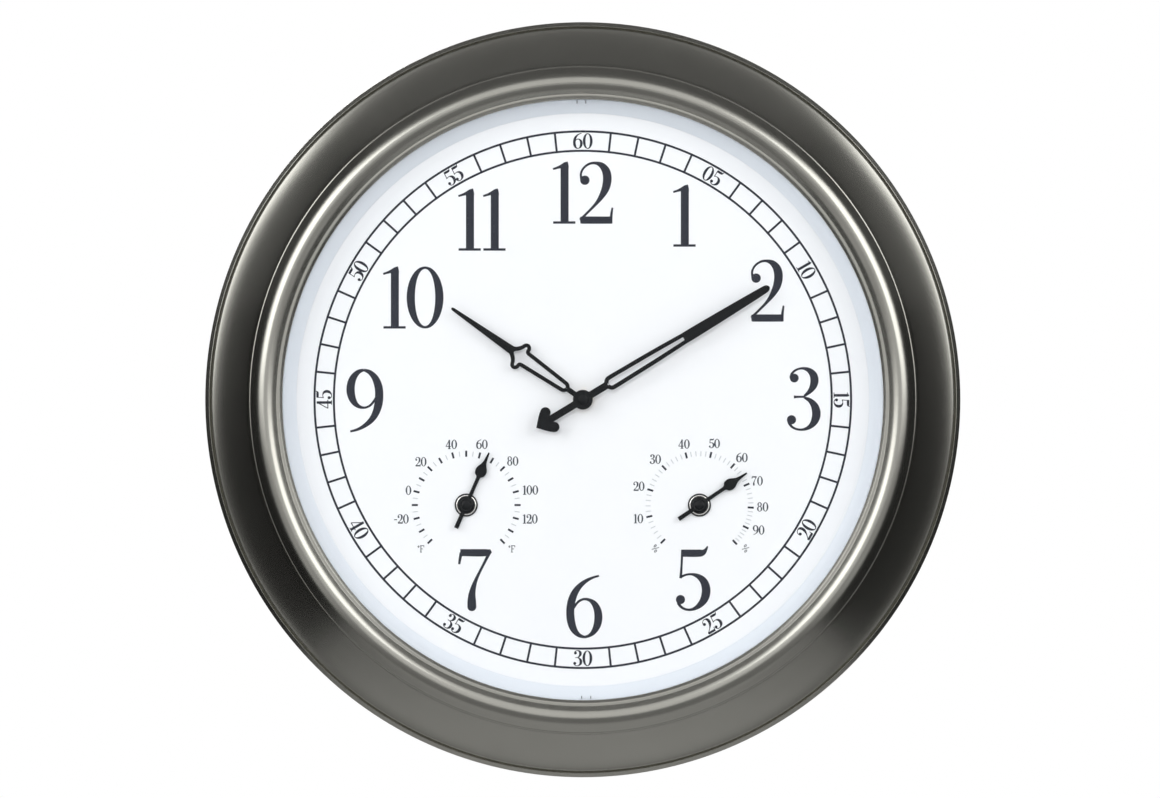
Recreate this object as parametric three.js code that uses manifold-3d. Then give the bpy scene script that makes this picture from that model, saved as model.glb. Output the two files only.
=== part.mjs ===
// Round outdoor wall clock with a thermometer and a hygrometer on its dial.
// Millimetres, +Z up. The origin is where the hands' axis meets the wall, and the dial faces -Y.
// A depth is measured forward from the wall, so a depth d lies at y = -d.
// Angles of the hands and pointers are clockwise from 12 o'clock as seen from the front.

import * as THREE from "three";
import { mergeVertices } from "three/addons/utils/BufferGeometryUtils.js";
import Module from "manifold-3d";

const wasm = await Module();
wasm.setup();

// Driving dimensions of the whole clock
const clockRadius = 228.6;
const bezelWidth = 47.3;
const shellWall = 3;
const skirtWall = 3.2;
const beadRise = 6.2;

// Clearances and the length by which a cut runs past what it cuts
const fitGap = 0.3;
const ringGap = 0.4;
const cutOverrun = 1;

// Rear cover and its seal
const wallGap = 0.6;
const coverRecess = 2;
const coverThickness = 2.6;
const coverBandDepth = 5.6;
const coverBandWidth = 8;
const sealThickness = 0.7;
const ledgeWidth = 3.8;
const ledgeThickness = 2.5;
const windowMargin = 2;
const windowLipHeight = 4;

// Stack from the movement to the front of the bezel
const movementRear = 3.2;
const caseSplit = 11.7;
const movementFront = 24.6;
const washerThickness = 0.8;
const dialThickness = 1.2;
const dialRingDepth = 10.1;
const lensThickness = 3;
const gasketThickness = 0.9;

// Rings around the opening
const lensLap = 6.3;
const pocketGap = 0.6;
const flangeWidth = 9.8;
const flangeThickness = 1.8;
const coneRun = 7.8;
const dialRingBackWidth = 9.8;
const dialLap = 7.3;

// Case of the movement
const caseBottom = -31;
const caseTop = 37;
const caseWall = 1.6;

// Hands' arbors
const arborRadius = 1.5;
const pivotRadius = 0.5;
const pivotHoleRadius = 0.8;
const tubeRadius = 2.7;
const tubeBoreRadius = 1.9;
const bushRadius = 4.5;
const bushLength = 6;

// Cell and the bay that holds it with its contacts
const cellRadius = 7.1;
const cellLength = 50.5;
const cellNubRadius = 2.75;
const cellNubLength = 1;
const contactThickness = 0.4;
const springRoom = 4.3;
const bayWall = 1.2;

// Gauges on the dial
const gaugeAcross = 70.5;
const gaugeBelow = 63.7;
const cupRadius = 17;
const cupDepth = 11.7;
const cupWall = 1.4;

// Screws of the rear cover
const coverScrewInset = 20.6;
const bossRadius = 4;

// Counts of sides
const ringSides = 40;
const discSides = 24;
const rodSides = 12;
const screwSides = 8;

// Angles shown by the hands and pointers
const minuteAngle = 58.7;
const hourAngle = 304.9;
const thermometerAngle = 23.7;
const hygrometerAngle = 56;

// Depths that follow from the stack
const coverFront = coverRecess + coverThickness;
const sealRear = coverBandDepth + fitGap;
const shelfDepth = sealRear + sealThickness + fitGap;
const washerRear = movementFront + fitGap;
const dialRear = washerRear + washerThickness + fitGap;
const dialFront = dialRear + dialThickness;
const dialRingRear = dialFront + fitGap;
const dialRingFront = dialRingRear + dialRingDepth;
const lensRear = dialRingFront + fitGap;
const lensFront = lensRear + lensThickness;
const gasketRear = lensFront + fitGap;
const lensSeat = gasketRear + gasketThickness + fitGap;
const clockDepth = lensSeat + beadRise;

// Radii that follow from the driving radii
const openingRadius = clockRadius - bezelWidth;
const coverScrewCircle = clockRadius - coverScrewInset;
const skirtRadius = clockRadius - skirtWall;
const coverRadius = skirtRadius - ringGap;
const ledgeRadius = skirtRadius - ledgeWidth;
const lensRadius = openingRadius + lensLap;
const pocketRadius = lensRadius + pocketGap;
const flangeRadius = pocketRadius + flangeWidth;
const ringScrewCircle = (pocketRadius + flangeRadius) / 2;
const coneFrontRadius = openingRadius - fitGap;
const coneRearRadius = coneFrontRadius - coneRun;
const dialRingRadius = coneRearRadius + dialRingBackWidth;
const dialRadius = coneRearRadius + dialLap;
const dialScrewCircle = (coneRearRadius + dialRadius) / 2;

// Widths that follow from the cell
const bayHalfLength = (springRoom + cellLength + contactThickness + 2 * fitGap) / 2;
const caseHalfWidth = bayHalfLength + bayWall + fitGap + caseWall;

const root = new THREE.Group();

// Shapes, cuts and joins

// Closed solid of a geometry: shared corners are merged and its faces point out
function solidOf(geometry) {
  geometry.deleteAttribute("normal");
  geometry.deleteAttribute("uv");
  const merged = mergeVertices(geometry);
  const corners = merged.attributes.position;
  const triangles = [];
  const [a, b, c] = [new THREE.Vector3(), new THREE.Vector3(), new THREE.Vector3()];
  let volume = 0;
  for (let i = 0; i < merged.index.count; i += 3) {
    const [first, second, third] = [0, 1, 2].map((k) => merged.index.getX(i + k));
    if (first === second || second === third || first === third) continue;
    triangles.push([first, second, third]);
    a.fromBufferAttribute(corners, first);
    b.fromBufferAttribute(corners, second);
    c.fromBufferAttribute(corners, third);
    volume += a.dot(b.cross(c));
  }
  const outward = volume < 0 ? triangles.map((triangle) => triangle.reverse()) : triangles;
  return new wasm.Manifold(new wasm.Mesh({
    numProp: 3,
    vertProperties: new Float32Array(corners.array),
    triVerts: new Uint32Array(outward.flat()),
  }));
}

// Solid turned about the Y axis from a profile of [radius, depth] points.
// A profile that stays off the axis is closed on itself.
function turned(profile, sides, [x, z] = [0, 0]) {
  const points = profile.map(([radius, depth]) => new THREE.Vector2(radius, -depth));
  if (profile[0][0] > 0) points.push(points[0].clone());
  const geometry = new THREE.LatheGeometry(points, sides);
  geometry.translate(x, 0, z);
  return solidOf(geometry);
}

// Round bar along Y between two depths
function rod(radius, rear, front, sides, centre) {
  return turned([[0, rear], [radius, rear], [radius, front], [0, front]], sides, centre);
}

// Ring with a rectangular section
function ring(inner, outer, rear, front, sides) {
  return turned([[inner, rear], [outer, rear], [outer, front], [inner, front]], sides);
}

// Flat plate of a Shape drawn in X and Z, between two depths
function plate(shape, rear, front) {
  const geometry = new THREE.ExtrudeGeometry(shape, {
    depth: front - rear,
    bevelEnabled: false,
  });
  geometry.rotateX(Math.PI / 2);
  geometry.translate(0, -rear, 0);
  return solidOf(geometry);
}

// Box between two places on each axis, with depths for the third
function block([left, right], [bottom, top], [rear, front]) {
  const geometry = new THREE.BoxGeometry(right - left, front - rear, top - bottom);
  geometry.translate((left + right) / 2, -(rear + front) / 2, (bottom + top) / 2);
  return solidOf(geometry);
}

// Bar along X with its own sides, through the point [x, z] at a depth
function crossBar(profile, sides, [x, z], depth) {
  const points = profile.map(([radius, along]) => new THREE.Vector2(radius, along));
  if (profile[0][0] > 0) points.push(points[0].clone());
  const geometry = new THREE.LatheGeometry(points, sides);
  geometry.rotateZ(-Math.PI / 2);
  geometry.translate(x, -depth, z);
  return solidOf(geometry);
}

function joined(solids) {
  return solids.reduce((whole, solid) => whole.add(solid));
}

function cut(solid, tools) {
  return tools.reduce((rest, tool) => rest.subtract(tool), solid);
}

// Points of an arc from one angle to another, in degrees, both ends included
function arc([x, y], radius, from, to, steps) {
  const points = [];
  for (let i = 0; i <= steps; i += 1) {
    const angle = THREE.MathUtils.degToRad(from + ((to - from) * i) / steps);
    points.push([x + radius * Math.cos(angle), y + radius * Math.sin(angle)]);
  }
  return points;
}

// Place on a circle about the hands' axis, as [x, z]
function onCircle(radius, degrees) {
  const angle = THREE.MathUtils.degToRad(degrees);
  return [radius * Math.sin(angle), radius * Math.cos(angle)];
}

function shapeOf(points) {
  return new THREE.Shape(points.map(([x, y]) => new THREE.Vector2(x, y)));
}

function pathOf(points) {
  return new THREE.Path(points.map(([x, y]) => new THREE.Vector2(x, y)));
}

// Outline from half of it: shares of a length, given along the length and to one side
function mirrored(halfShares, length) {
  const side = halfShares.map(([along, aside]) => [aside * length, along * length]);
  const other = side.filter(([aside]) => aside > 0).map(([aside, along]) => [-aside, along]);
  return [...side, ...other.reverse()];
}

// Named mesh of a solid, added to a group
function addPiece(name, solid, finish, parent = root) {
  const mesh = solid.getMesh();
  const geometry = new THREE.BufferGeometry();
  geometry.setAttribute("position", new THREE.Float32BufferAttribute(mesh.vertProperties, 3));
  geometry.setIndex(new THREE.Uint32BufferAttribute(mesh.triVerts, 1));
  geometry.computeVertexNormals();
  const piece = new THREE.Mesh(geometry, finish);
  piece.name = name;
  parent.add(piece);
  return piece;
}

// Mesh moved to a place on the dial
function placed(mesh, [x, z]) {
  mesh.position.set(x, 0, z);
  return mesh;
}

function finishOf(color, roughness, metalness, opacity = 1) {
  return new THREE.MeshStandardMaterial({
    color,
    roughness,
    metalness,
    opacity,
    transparent: opacity < 1,
    flatShading: true,
  });
}

const pewter = finishOf(0x5a5852, 0.35, 0.85);
const clearPlastic = finishOf(0xf4f8fa, 0.05, 0, 0.25);
const whitePlastic = finishOf(0xe9eef2, 0.5, 0);
const whitePrint = finishOf(0xf7f9fb, 0.7, 0);
const blackPlastic = finishOf(0x1c1d1f, 0.55, 0);
const greyPlastic = finishOf(0x8b8f92, 0.5, 0);
const blackPaint = finishOf(0x1f2326, 0.45, 0.2);
const rubber = finishOf(0x2a2a2a, 0.9, 0);
const steel = finishOf(0xb9bcbf, 0.3, 0.9);
const brass = finishOf(0xc9a85a, 0.35, 0.9);
const copper = finishOf(0xb06a3c, 0.4, 0.8);
const boardGreen = finishOf(0x2f6b45, 0.5, 0);
const ferrite = finishOf(0x3a3b3e, 0.6, 0.2);
const cellJacket = finishOf(0x40464c, 0.35, 0.3);
const ivory = finishOf(0xe8e2d0, 0.5, 0);

// Bezel: a thin moulding with a rim bead, a wide cove, a round bead and an inner lip

// Outline of the front, as shares of the moulding's width from its rim and of the clock's depth
const rimBeadShares = [[0, 0.36], [0.004, 0.37], [0.045, 0.405], [0.052, 0.404], [0.06, 0.376]];
const coveOuterShare = [0.071, 0.391];
const coveInnerShare = [0.528, 0.779];
const beadFootShares = [[0.55, 0.807], [0.57, 0.842], [0.6, 0.87], [0.645, 0.922]];
const beadCrownShares = [[0.674, 0.951], [0.719, 0.982], [0.78, 1], [0.833, 0.985], [0.875, 0.947]];
const innerLipShares = [[0.893, 0.922], [0.94, 0.939], [0.963, 0.929], [1, 0.895]];
const coveArcRadius = 106;
const coveSteps = 4;
const landShare = [0.58, 0.752];
const coveHeelShare = [0.118, 0.352];
const skirtTopShare = 0.33;
const bossTopShare = 0.82;

function bezelPoint([inward, forward]) {
  return [clockRadius - inward * bezelWidth, forward * clockDepth];
}

// Arc that is hollow towards the front, between two points of the profile
function coveArc(from, to, radius, steps) {
  const chord = Math.hypot(to[0] - from[0], to[1] - from[1]);
  const middle = [(from[0] + to[0]) / 2, (from[1] + to[1]) / 2];
  const reach = Math.sqrt(radius * radius - (chord * chord) / 4) / chord;
  const centre = [middle[0] + (to[1] - from[1]) * reach, middle[1] - (to[0] - from[0]) * reach];
  const angleTo = ([x, y]) => THREE.MathUtils.radToDeg(Math.atan2(y - centre[1], x - centre[0]));
  return arc(centre, radius, angleTo(from), angleTo(to), steps);
}

function bezelFront() {
  const cove = coveArc(bezelPoint(coveOuterShare), bezelPoint(coveInnerShare), coveArcRadius, coveSteps);
  return [
    ...rimBeadShares.map(bezelPoint),
    ...cove,
    ...[...beadFootShares, ...beadCrownShares, ...innerLipShares].map(bezelPoint),
  ];
}

// Space behind the moulding's wall: lens pocket, land for the dial ring, cove and cover seat
function bezelCavity() {
  const innerWall = openingRadius - cutOverrun;
  const land = flangeRadius + fitGap;
  const coveTop = [clockRadius - landShare[0] * bezelWidth, landShare[1] * clockDepth];
  const coveHeel = bezelPoint(coveHeelShare);
  return turned([
    [innerWall, -cutOverrun],
    [innerWall, lensSeat],
    [pocketRadius, lensSeat],
    [pocketRadius, lensRear],
    [land, lensRear],
    ...coveArc(coveHeel, coveTop, coveArcRadius + shellWall, coveSteps).reverse(),
    [skirtRadius, skirtTopShare * clockDepth],
    [skirtRadius, shelfDepth + ledgeThickness + ledgeWidth / 2],
    [ledgeRadius, shelfDepth + ledgeThickness],
    [ledgeRadius, shelfDepth],
    [skirtRadius, shelfDepth],
    [skirtRadius, -cutOverrun],
  ], ringSides);
}

const coverScrewCount = 6;
const coverScrewTurn = 30;
const coverScrewLength = 12;
const coverScrewRadius = 1.5;
const ringScrewCount = 3;
const ringScrewTurn = 15;
const ringScrewLength = 5.5;
const ringScrewRadius = 1.3;
const threadGap = 0.3;

function coverScrewPlaces() {
  return Array.from({ length: coverScrewCount }, (_, i) =>
    onCircle(coverScrewCircle, coverScrewTurn + (360 * i) / coverScrewCount));
}

function ringScrewPlaces() {
  return Array.from({ length: ringScrewCount }, (_, i) =>
    onCircle(ringScrewCircle, ringScrewTurn + (360 * i) / ringScrewCount));
}

function makeBezel() {
  const body = turned([
    [openingRadius, wallGap],
    [clockRadius, wallGap],
    ...bezelFront(),
  ], ringSides);
  const bossTop = bossTopShare * clockDepth;
  const bosses = coverScrewPlaces().map((place) =>
    rod(bossRadius, coverFront + fitGap, bossTop, screwSides, place));
  const bores = coverScrewPlaces().map((place) =>
    rod(coverScrewRadius + threadGap, 0, coverScrewLength + coverRecess, screwSides, place));
  const ringBores = ringScrewPlaces().map((place) =>
    rod(ringScrewRadius + threadGap, lensRear - cutOverrun, lensRear + ringScrewLength, screwSides, place));
  const shell = body.subtract(cut(bezelCavity(), bosses));
  addPiece("bezel", cut(shell, [...bores, ...ringBores]), pewter);
}

// Screws: a pan head with a cross recess, entering from behind

const crossWidthShare = 0.3;
const crossReachShare = 0.75;
const crossDepthShare = 0.5;

function screwSolid(headRadius, headHeight, shankRadius, length) {
  const body = turned([
    [0, -headHeight],
    [headRadius, -headHeight],
    [headRadius, 0],
    [shankRadius, 0],
    [shankRadius, length],
    [0, length],
  ], screwSides);
  const half = (crossWidthShare * headRadius) / 2;
  const reach = crossReachShare * headRadius;
  const depths = [-headHeight - cutOverrun, -headHeight * (1 - crossDepthShare)];
  return cut(body, [
    block([-half, half], [-reach, reach], depths),
    block([-reach, reach], [-half, half], depths),
  ]);
}

function addScrews(name, places, seat, sizes) {
  places.forEach(([x, z], i) => {
    const mesh = addPiece(`${name}_${i + 1}`, screwSolid(...sizes), steel);
    mesh.position.set(x, -seat, z);
  });
}

const coverScrewHeadRadius = 3.4;
const coverScrewHeadHeight = 1.3;
const smallHeadRadius = 2.8;
const smallHeadHeight = 1.4;
const dialScrewCount = 3;
const dialScrewTurn = 60;
const dialScrewLength = 4.8;
const dialScrewRadius = 1.1;

function dialScrewPlaces() {
  return Array.from({ length: dialScrewCount }, (_, i) =>
    onCircle(dialScrewCircle, dialScrewTurn + (360 * i) / dialScrewCount));
}

function makeScrews() {
  addScrews("cover_screw", coverScrewPlaces(), coverRecess - fitGap,
    [coverScrewHeadRadius, coverScrewHeadHeight, coverScrewRadius, coverScrewLength]);
  addScrews("ring_screw", ringScrewPlaces(), dialRingFront - flangeThickness - fitGap,
    [smallHeadRadius, smallHeadHeight, ringScrewRadius, flangeThickness + ringScrewLength]);
  addScrews("dial_screw", dialScrewPlaces(), dialRear - fitGap,
    [smallHeadRadius, smallHeadHeight, dialScrewRadius, dialScrewLength]);
}

// Lens, its gasket, the sloped ring around the dial and the dial

const gasketLap = 1.2;

function makeLensStack() {
  addPiece("lens", rod(lensRadius, lensRear, lensFront, ringSides), clearPlastic);
  const gasketFront = gasketRear + gasketThickness;
  const gasket = ring(openingRadius + gasketLap, lensRadius, gasketRear, gasketFront, ringSides);
  addPiece("lens_gasket", gasket, rubber);
}

function makeDialRing() {
  const flangeRear = dialRingFront - flangeThickness;
  const body = turned([
    [coneFrontRadius, dialRingFront],
    [coneRearRadius, dialRingRear],
    [dialRingRadius, dialRingRear],
    [dialRingRadius, flangeRear],
    [flangeRadius, flangeRear],
    [flangeRadius, dialRingFront],
  ], ringSides);
  const flangeHoles = ringScrewPlaces().map((place) => rod(
    ringScrewRadius + ringGap, flangeRear - cutOverrun, dialRingFront + cutOverrun, screwSides, place));
  const dialHoles = dialScrewPlaces().map((place) => rod(
    dialScrewRadius + threadGap, dialRingRear - cutOverrun, dialRear + dialScrewLength, screwSides, place));
  addPiece("dial_ring", cut(body, [...flangeHoles, ...dialHoles]), whitePlastic);
}

const gaugeNeckRadius = 5.1;
const gaugePlaces = [[-gaugeAcross, -gaugeBelow], [gaugeAcross, -gaugeBelow]];

function makeDial() {
  const body = rod(dialRadius, dialRear, dialFront, ringSides);
  const through = [dialRear - cutOverrun, dialFront + cutOverrun];
  const centreHole = rod(bushRadius + ringGap, ...through, rodSides);
  const gaugeHoles = gaugePlaces.map((place) => rod(gaugeNeckRadius + fitGap, ...through, rodSides, place));
  const screwHoles = dialScrewPlaces().map((place) =>
    rod(dialScrewRadius + ringGap, ...through, screwSides, place));
  addPiece("dial_plate", cut(body, [centreHole, ...gaugeHoles, ...screwHoles]), whitePrint);
}

// Rear cover: a flat plate with a thick band that bears on the wall, a window for the movement,
// vents behind the gauges and a keyhole with a closed pocket

const ventCount = 5;
const ventPitch = 7;
const ventHeight = 3;
const ventHalfWidth = 12;
const lipWall = 1.6;
const keyholeInset = 68.6;
const keyholeRise = 12;
const keyholeHeadRadius = 5;
const keyholeSlotWidth = 5;
const pocketWall = 1.5;
const pocketMargin = 1.5;
const pocketDepth = 5;

const keyholeHeight = clockRadius - keyholeInset;

// Keyhole outline: the head hole below and the slot above it
function keyholeSolid(rear, front) {
  const half = keyholeSlotWidth / 2;
  const slot = block([-half, half], [keyholeHeight, keyholeHeight + keyholeRise - half], [rear, front]);
  const head = rod(keyholeHeadRadius, rear, front, rodSides, [0, keyholeHeight]);
  const end = rod(half, rear, front, rodSides, [0, keyholeHeight + keyholeRise - half]);
  return joined([slot, head, end]);
}

function keyholePocket(margin, rear, front) {
  const reach = keyholeHeadRadius + margin;
  const top = keyholeHeight + keyholeRise + reach;
  return block([-reach, reach], [keyholeHeight - reach, top], [rear, front]);
}

function ventCuts([x, z]) {
  return Array.from({ length: ventCount }, (_, i) => {
    const middle = z + (i - (ventCount - 1) / 2) * ventPitch;
    return block(
      [x - ventHalfWidth, x + ventHalfWidth],
      [middle - ventHeight / 2, middle + ventHeight / 2],
      [coverRecess - cutOverrun, coverFront + cutOverrun],
    );
  });
}

function windowBlock(margin, rear, front) {
  const side = caseHalfWidth + margin;
  return block([-side, side], [caseBottom - margin, caseTop + margin], [rear, front]);
}

function makeRearCover() {
  const plateBody = turned([
    [0, coverRecess],
    [coverRadius - coverBandWidth, coverRecess],
    [coverRadius - coverBandWidth, 0],
    [coverRadius, 0],
    [coverRadius, coverBandDepth],
    [coverRadius - coverBandWidth, coverBandDepth],
    [coverRadius - coverBandWidth, coverFront],
    [0, coverFront],
  ], ringSides);
  const lip = windowBlock(windowMargin + lipWall, coverRecess + coverThickness / 2,
    coverFront + windowLipHeight);
  const pocket = keyholePocket(pocketMargin + pocketWall, coverFront - coverThickness / 2,
    coverFront + pocketDepth + pocketWall);
  const holes = coverScrewPlaces().map((place) => rod(
    coverScrewRadius + ringGap, coverRecess - cutOverrun, coverFront + cutOverrun, screwSides, place));
  const solid = cut(joined([plateBody, lip, pocket]), [
    windowBlock(windowMargin, coverRecess - cutOverrun, coverFront + windowLipHeight + cutOverrun),
    keyholePocket(pocketMargin, coverFront, coverFront + pocketDepth),
    keyholeSolid(coverRecess - cutOverrun, coverFront + cutOverrun),
    ...gaugePlaces.flatMap(ventCuts),
    ...holes,
  ]);
  addPiece("rear_cover", solid, blackPlastic);
  const sealFront = sealRear + sealThickness;
  const seal = ring(ledgeRadius + ringGap, coverRadius - fitGap, sealRear, sealFront, ringSides);
  addPiece("cover_seal", seal, rubber);
}

// Gear train. Each wheel is placed from the one before it by the sum of their pitch radii.

const trainModule = 0.4;
const motionModule = 0.375;
const rotorModule = 1 / 3;
const centreWheelTeeth = 32;
const secondPinionTeeth = 8;
const secondWheelTeeth = 30;
const firstPinionTeeth = 6;
const firstWheelTeeth = 36;
const rotorPinionTeeth = 6;
const centrePinionTeeth = 10;
const reverseWheelTeeth = 30;
const reversePinionTeeth = 8;
const hourWheelTeeth = 32;

// Bearings from each arbor to the next one
const secondBearing = -30;
const firstBearing = 30;
const rotorBearing = 70;
const reverseBearing = 110;

function meshed([x, z], bearing, module, teeth) {
  const [across, up] = onCircle((module * teeth) / 2, bearing);
  return [x + across, z + up];
}

const secondPlace = meshed([0, 0], secondBearing, trainModule, centreWheelTeeth + secondPinionTeeth);
const firstPlace = meshed(secondPlace, firstBearing, trainModule, secondWheelTeeth + firstPinionTeeth);
const rotorPlace = meshed(firstPlace, rotorBearing, rotorModule, firstWheelTeeth + rotorPinionTeeth);
const reversePlace = meshed([0, 0], reverseBearing, motionModule, centrePinionTeeth + reverseWheelTeeth);

// Teeth: widths as shares of the pitch, heights as shares of the module
const rootWidthShare = 0.42;
const tipWidthShare = 0.2;
const addendumShare = 0.75;
const dedendumShare = 1.05;

// Toothed wheel with a tooth at the bearing turn
function gear(teeth, module, turn, rear, front) {
  const pitch = 360 / teeth;
  const pitchRadius = (module * teeth) / 2;
  const root = pitchRadius - dedendumShare * module;
  const tip = pitchRadius + addendumShare * module;
  const outline = [];
  for (let i = 0; i < teeth; i += 1) {
    const middle = turn + i * pitch;
    outline.push(onCircle(root, middle - (rootWidthShare * pitch) / 2));
    outline.push(onCircle(tip, middle - (tipWidthShare * pitch) / 2));
    outline.push(onCircle(tip, middle + (tipWidthShare * pitch) / 2));
    outline.push(onCircle(root, middle + (rootWidthShare * pitch) / 2));
  }
  return plate(shapeOf(outline), rear, front);
}

// A wheel turns a gap towards its pinion, and a pinion a tooth towards its wheel
function wheel(teeth, module, pinionBearing, rear, front) {
  return gear(teeth, module, pinionBearing + 180 / teeth, rear, front);
}

// Depths of the train, each plane worked out from the bridge forward
const bridgeRear = 11.5;
const bridgeThickness = 1.2;
const wheelThickness = 1;
const wheelSpacing = 0.8;
const pivotSeat = 0.7;
const magnetRadius = 2.8;
const magnetLength = 4;
const hourWheelGap = 0.4;
const trayFloor = movementFront - caseWall;
const hourWheelFront = trayFloor - hourWheelGap;
const hourWheelRear = hourWheelFront - wheelThickness;
const reverseWheelFront = hourWheelRear - wheelThickness;
const reverseWheelRear = reverseWheelFront - wheelThickness;
const centreWheelFront = reverseWheelRear - wheelThickness - fitGap;
const centreWheelRear = centreWheelFront - wheelThickness;
const secondWheelFront = centreWheelRear - wheelSpacing - fitGap;
const secondWheelRear = secondWheelFront - wheelThickness;
const firstWheelFront = secondWheelRear - wheelSpacing;
const firstWheelRear = firstWheelFront - wheelThickness;
const pivotRear = bridgeRear - fitGap;
const pivotFront = trayFloor - pivotSeat;
const handStackGap = 1.8;

// Depths of the hands in front of the mounting nut
const handThickness = 1;
const bushHandGap = 1;
const arborOverhang = 1;
const bushFront = movementFront + bushLength;
const hourHandRear = bushFront + bushHandGap;
const hourHandFront = hourHandRear + handThickness;
const minuteHandRear = hourHandFront + handStackGap;
const minuteHandFront = minuteHandRear + handThickness;

function makeTrain() {
  const pivots = rod(pivotRadius, pivotRear, pivotFront, screwSides);
  const rotor = joined([
    gear(rotorPinionTeeth, rotorModule, rotorBearing + 180,
      firstWheelRear - fitGap, firstWheelFront + fitGap),
    rod(magnetRadius, secondWheelRear, secondWheelRear + magnetLength, rodSides),
    pivots,
  ]);
  placed(addPiece("rotor", rotor, ferrite), rotorPlace);
  const first = joined([
    wheel(firstWheelTeeth, rotorModule, rotorBearing, firstWheelRear, firstWheelFront),
    gear(firstPinionTeeth, trainModule, firstBearing + 180, firstWheelFront, secondWheelFront + fitGap),
    pivots,
  ]);
  placed(addPiece("first_wheel", first, ivory), firstPlace);
  const second = joined([
    wheel(secondWheelTeeth, trainModule, firstBearing, secondWheelRear, secondWheelFront),
    gear(secondPinionTeeth, trainModule, secondBearing + 180, secondWheelFront, centreWheelFront + fitGap),
    pivots,
  ]);
  placed(addPiece("second_wheel", second, ivory), secondPlace);
}

// Wheels that carry the hands, and the reverse wheel between them
function makeMotionWork() {
  const centre = joined([
    rod(pivotRadius, pivotRear, bridgeRear + bridgeThickness + wheelSpacing, screwSides),
    rod(pivotHoleRadius, bridgeRear + bridgeThickness + fitGap, centreWheelRear, screwSides),
    wheel(centreWheelTeeth, trainModule, secondBearing, centreWheelRear, centreWheelFront),
    gear(centrePinionTeeth, motionModule, reverseBearing, centreWheelFront, reverseWheelFront + fitGap),
    rod(arborRadius, reverseWheelFront, minuteHandFront + arborOverhang, rodSides),
  ]);
  addPiece("centre_wheel", centre, brass);
  const reverse = joined([
    wheel(reverseWheelTeeth, motionModule, reverseBearing + 180, reverseWheelRear, reverseWheelFront),
    gear(reversePinionTeeth, motionModule, reverseBearing + 180, reverseWheelFront, hourWheelFront),
  ]);
  const bore = rod(pivotRadius + fitGap, reverseWheelRear - cutOverrun,
    hourWheelFront + cutOverrun, screwSides);
  placed(addPiece("reverse_wheel", reverse.subtract(bore), ivory), reversePlace);
  const hour = joined([
    wheel(hourWheelTeeth, motionModule, reverseBearing, hourWheelRear, hourWheelFront),
    rod(tubeRadius, hourWheelFront - wheelThickness / 2, hourHandFront + fitGap, rodSides),
  ]);
  const tubeBore = rod(tubeBoreRadius, hourWheelRear - cutOverrun, hourHandFront + cutOverrun, rodSides);
  addPiece("hour_wheel", hour.subtract(tubeBore), ivory);
}

// Movement case: a front tray with the bush and the posts, and a rear tray with the cell's bay

const bridgePostRadius = 1.6;
const bridgePinRadius = 0.7;
const bridgeMargin = 2.5;
const bridgeLeft = 11;
const bridgeRight = 15.5;
const bridgeBelow = 5;
const bridgeAbove = 20;
const pivotBossRadius = 1.4;
const pivotBossLength = 2.6;
const casePostRadius = 2.2;
const casePostInset = 4.4;
const casePostShares = [[-1, 0.38], [1, -0.16]];
const caseScrewRadius = 1.1;
const caseScrewHeadRadius = 2.4;
const caseScrewHeadHeight = 1.3;
const caseScrewLength = 15;
const antennaRadius = 3.5;
const antennaEndGap = 5;
const antennaCoilRadius = 5;
const antennaCoilHalfLength = 11;
const antennaTopGap = 7.5;
const saddlePlaceShare = 0.78;
const saddleWidth = 2;

const antennaHalfLength = caseHalfWidth - antennaEndGap;
const antennaHeight = caseTop - antennaTopGap;
const antennaDepth = trayFloor - antennaCoilRadius - ringGap;
const bridgeFront = bridgeRear + bridgeThickness;
const bridgePostPlaces = [
  [-bridgeLeft, -bridgeBelow],
  [-bridgeLeft, bridgeAbove],
  [bridgeRight, -bridgeBelow],
];
const casePostAcross = caseHalfWidth - casePostInset;
const casePostPlaces = casePostShares.map(([side, z]) => [side * casePostAcross, z * caseTop]);

function caseBlock(inset, rear, front) {
  const side = caseHalfWidth - inset;
  return block([-side, side], [caseBottom + inset, caseTop - inset], [rear, front]);
}

// Rib that the antenna rod rests on, with a seat cut to the rod
function saddle(side) {
  const x = side * saddlePlaceShare * antennaHalfLength;
  const half = antennaRadius + fitGap;
  const rib = block([x - saddleWidth / 2, x + saddleWidth / 2],
    [antennaHeight - half, antennaHeight + half], [antennaDepth, trayFloor + caseWall / 2]);
  const seat = crossBar([
    [0, x - saddleWidth],
    [half, x - saddleWidth],
    [half, x + saddleWidth],
    [0, x + saddleWidth],
  ], rodSides, [0, antennaHeight], antennaDepth);
  return rib.subtract(seat);
}

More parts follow.
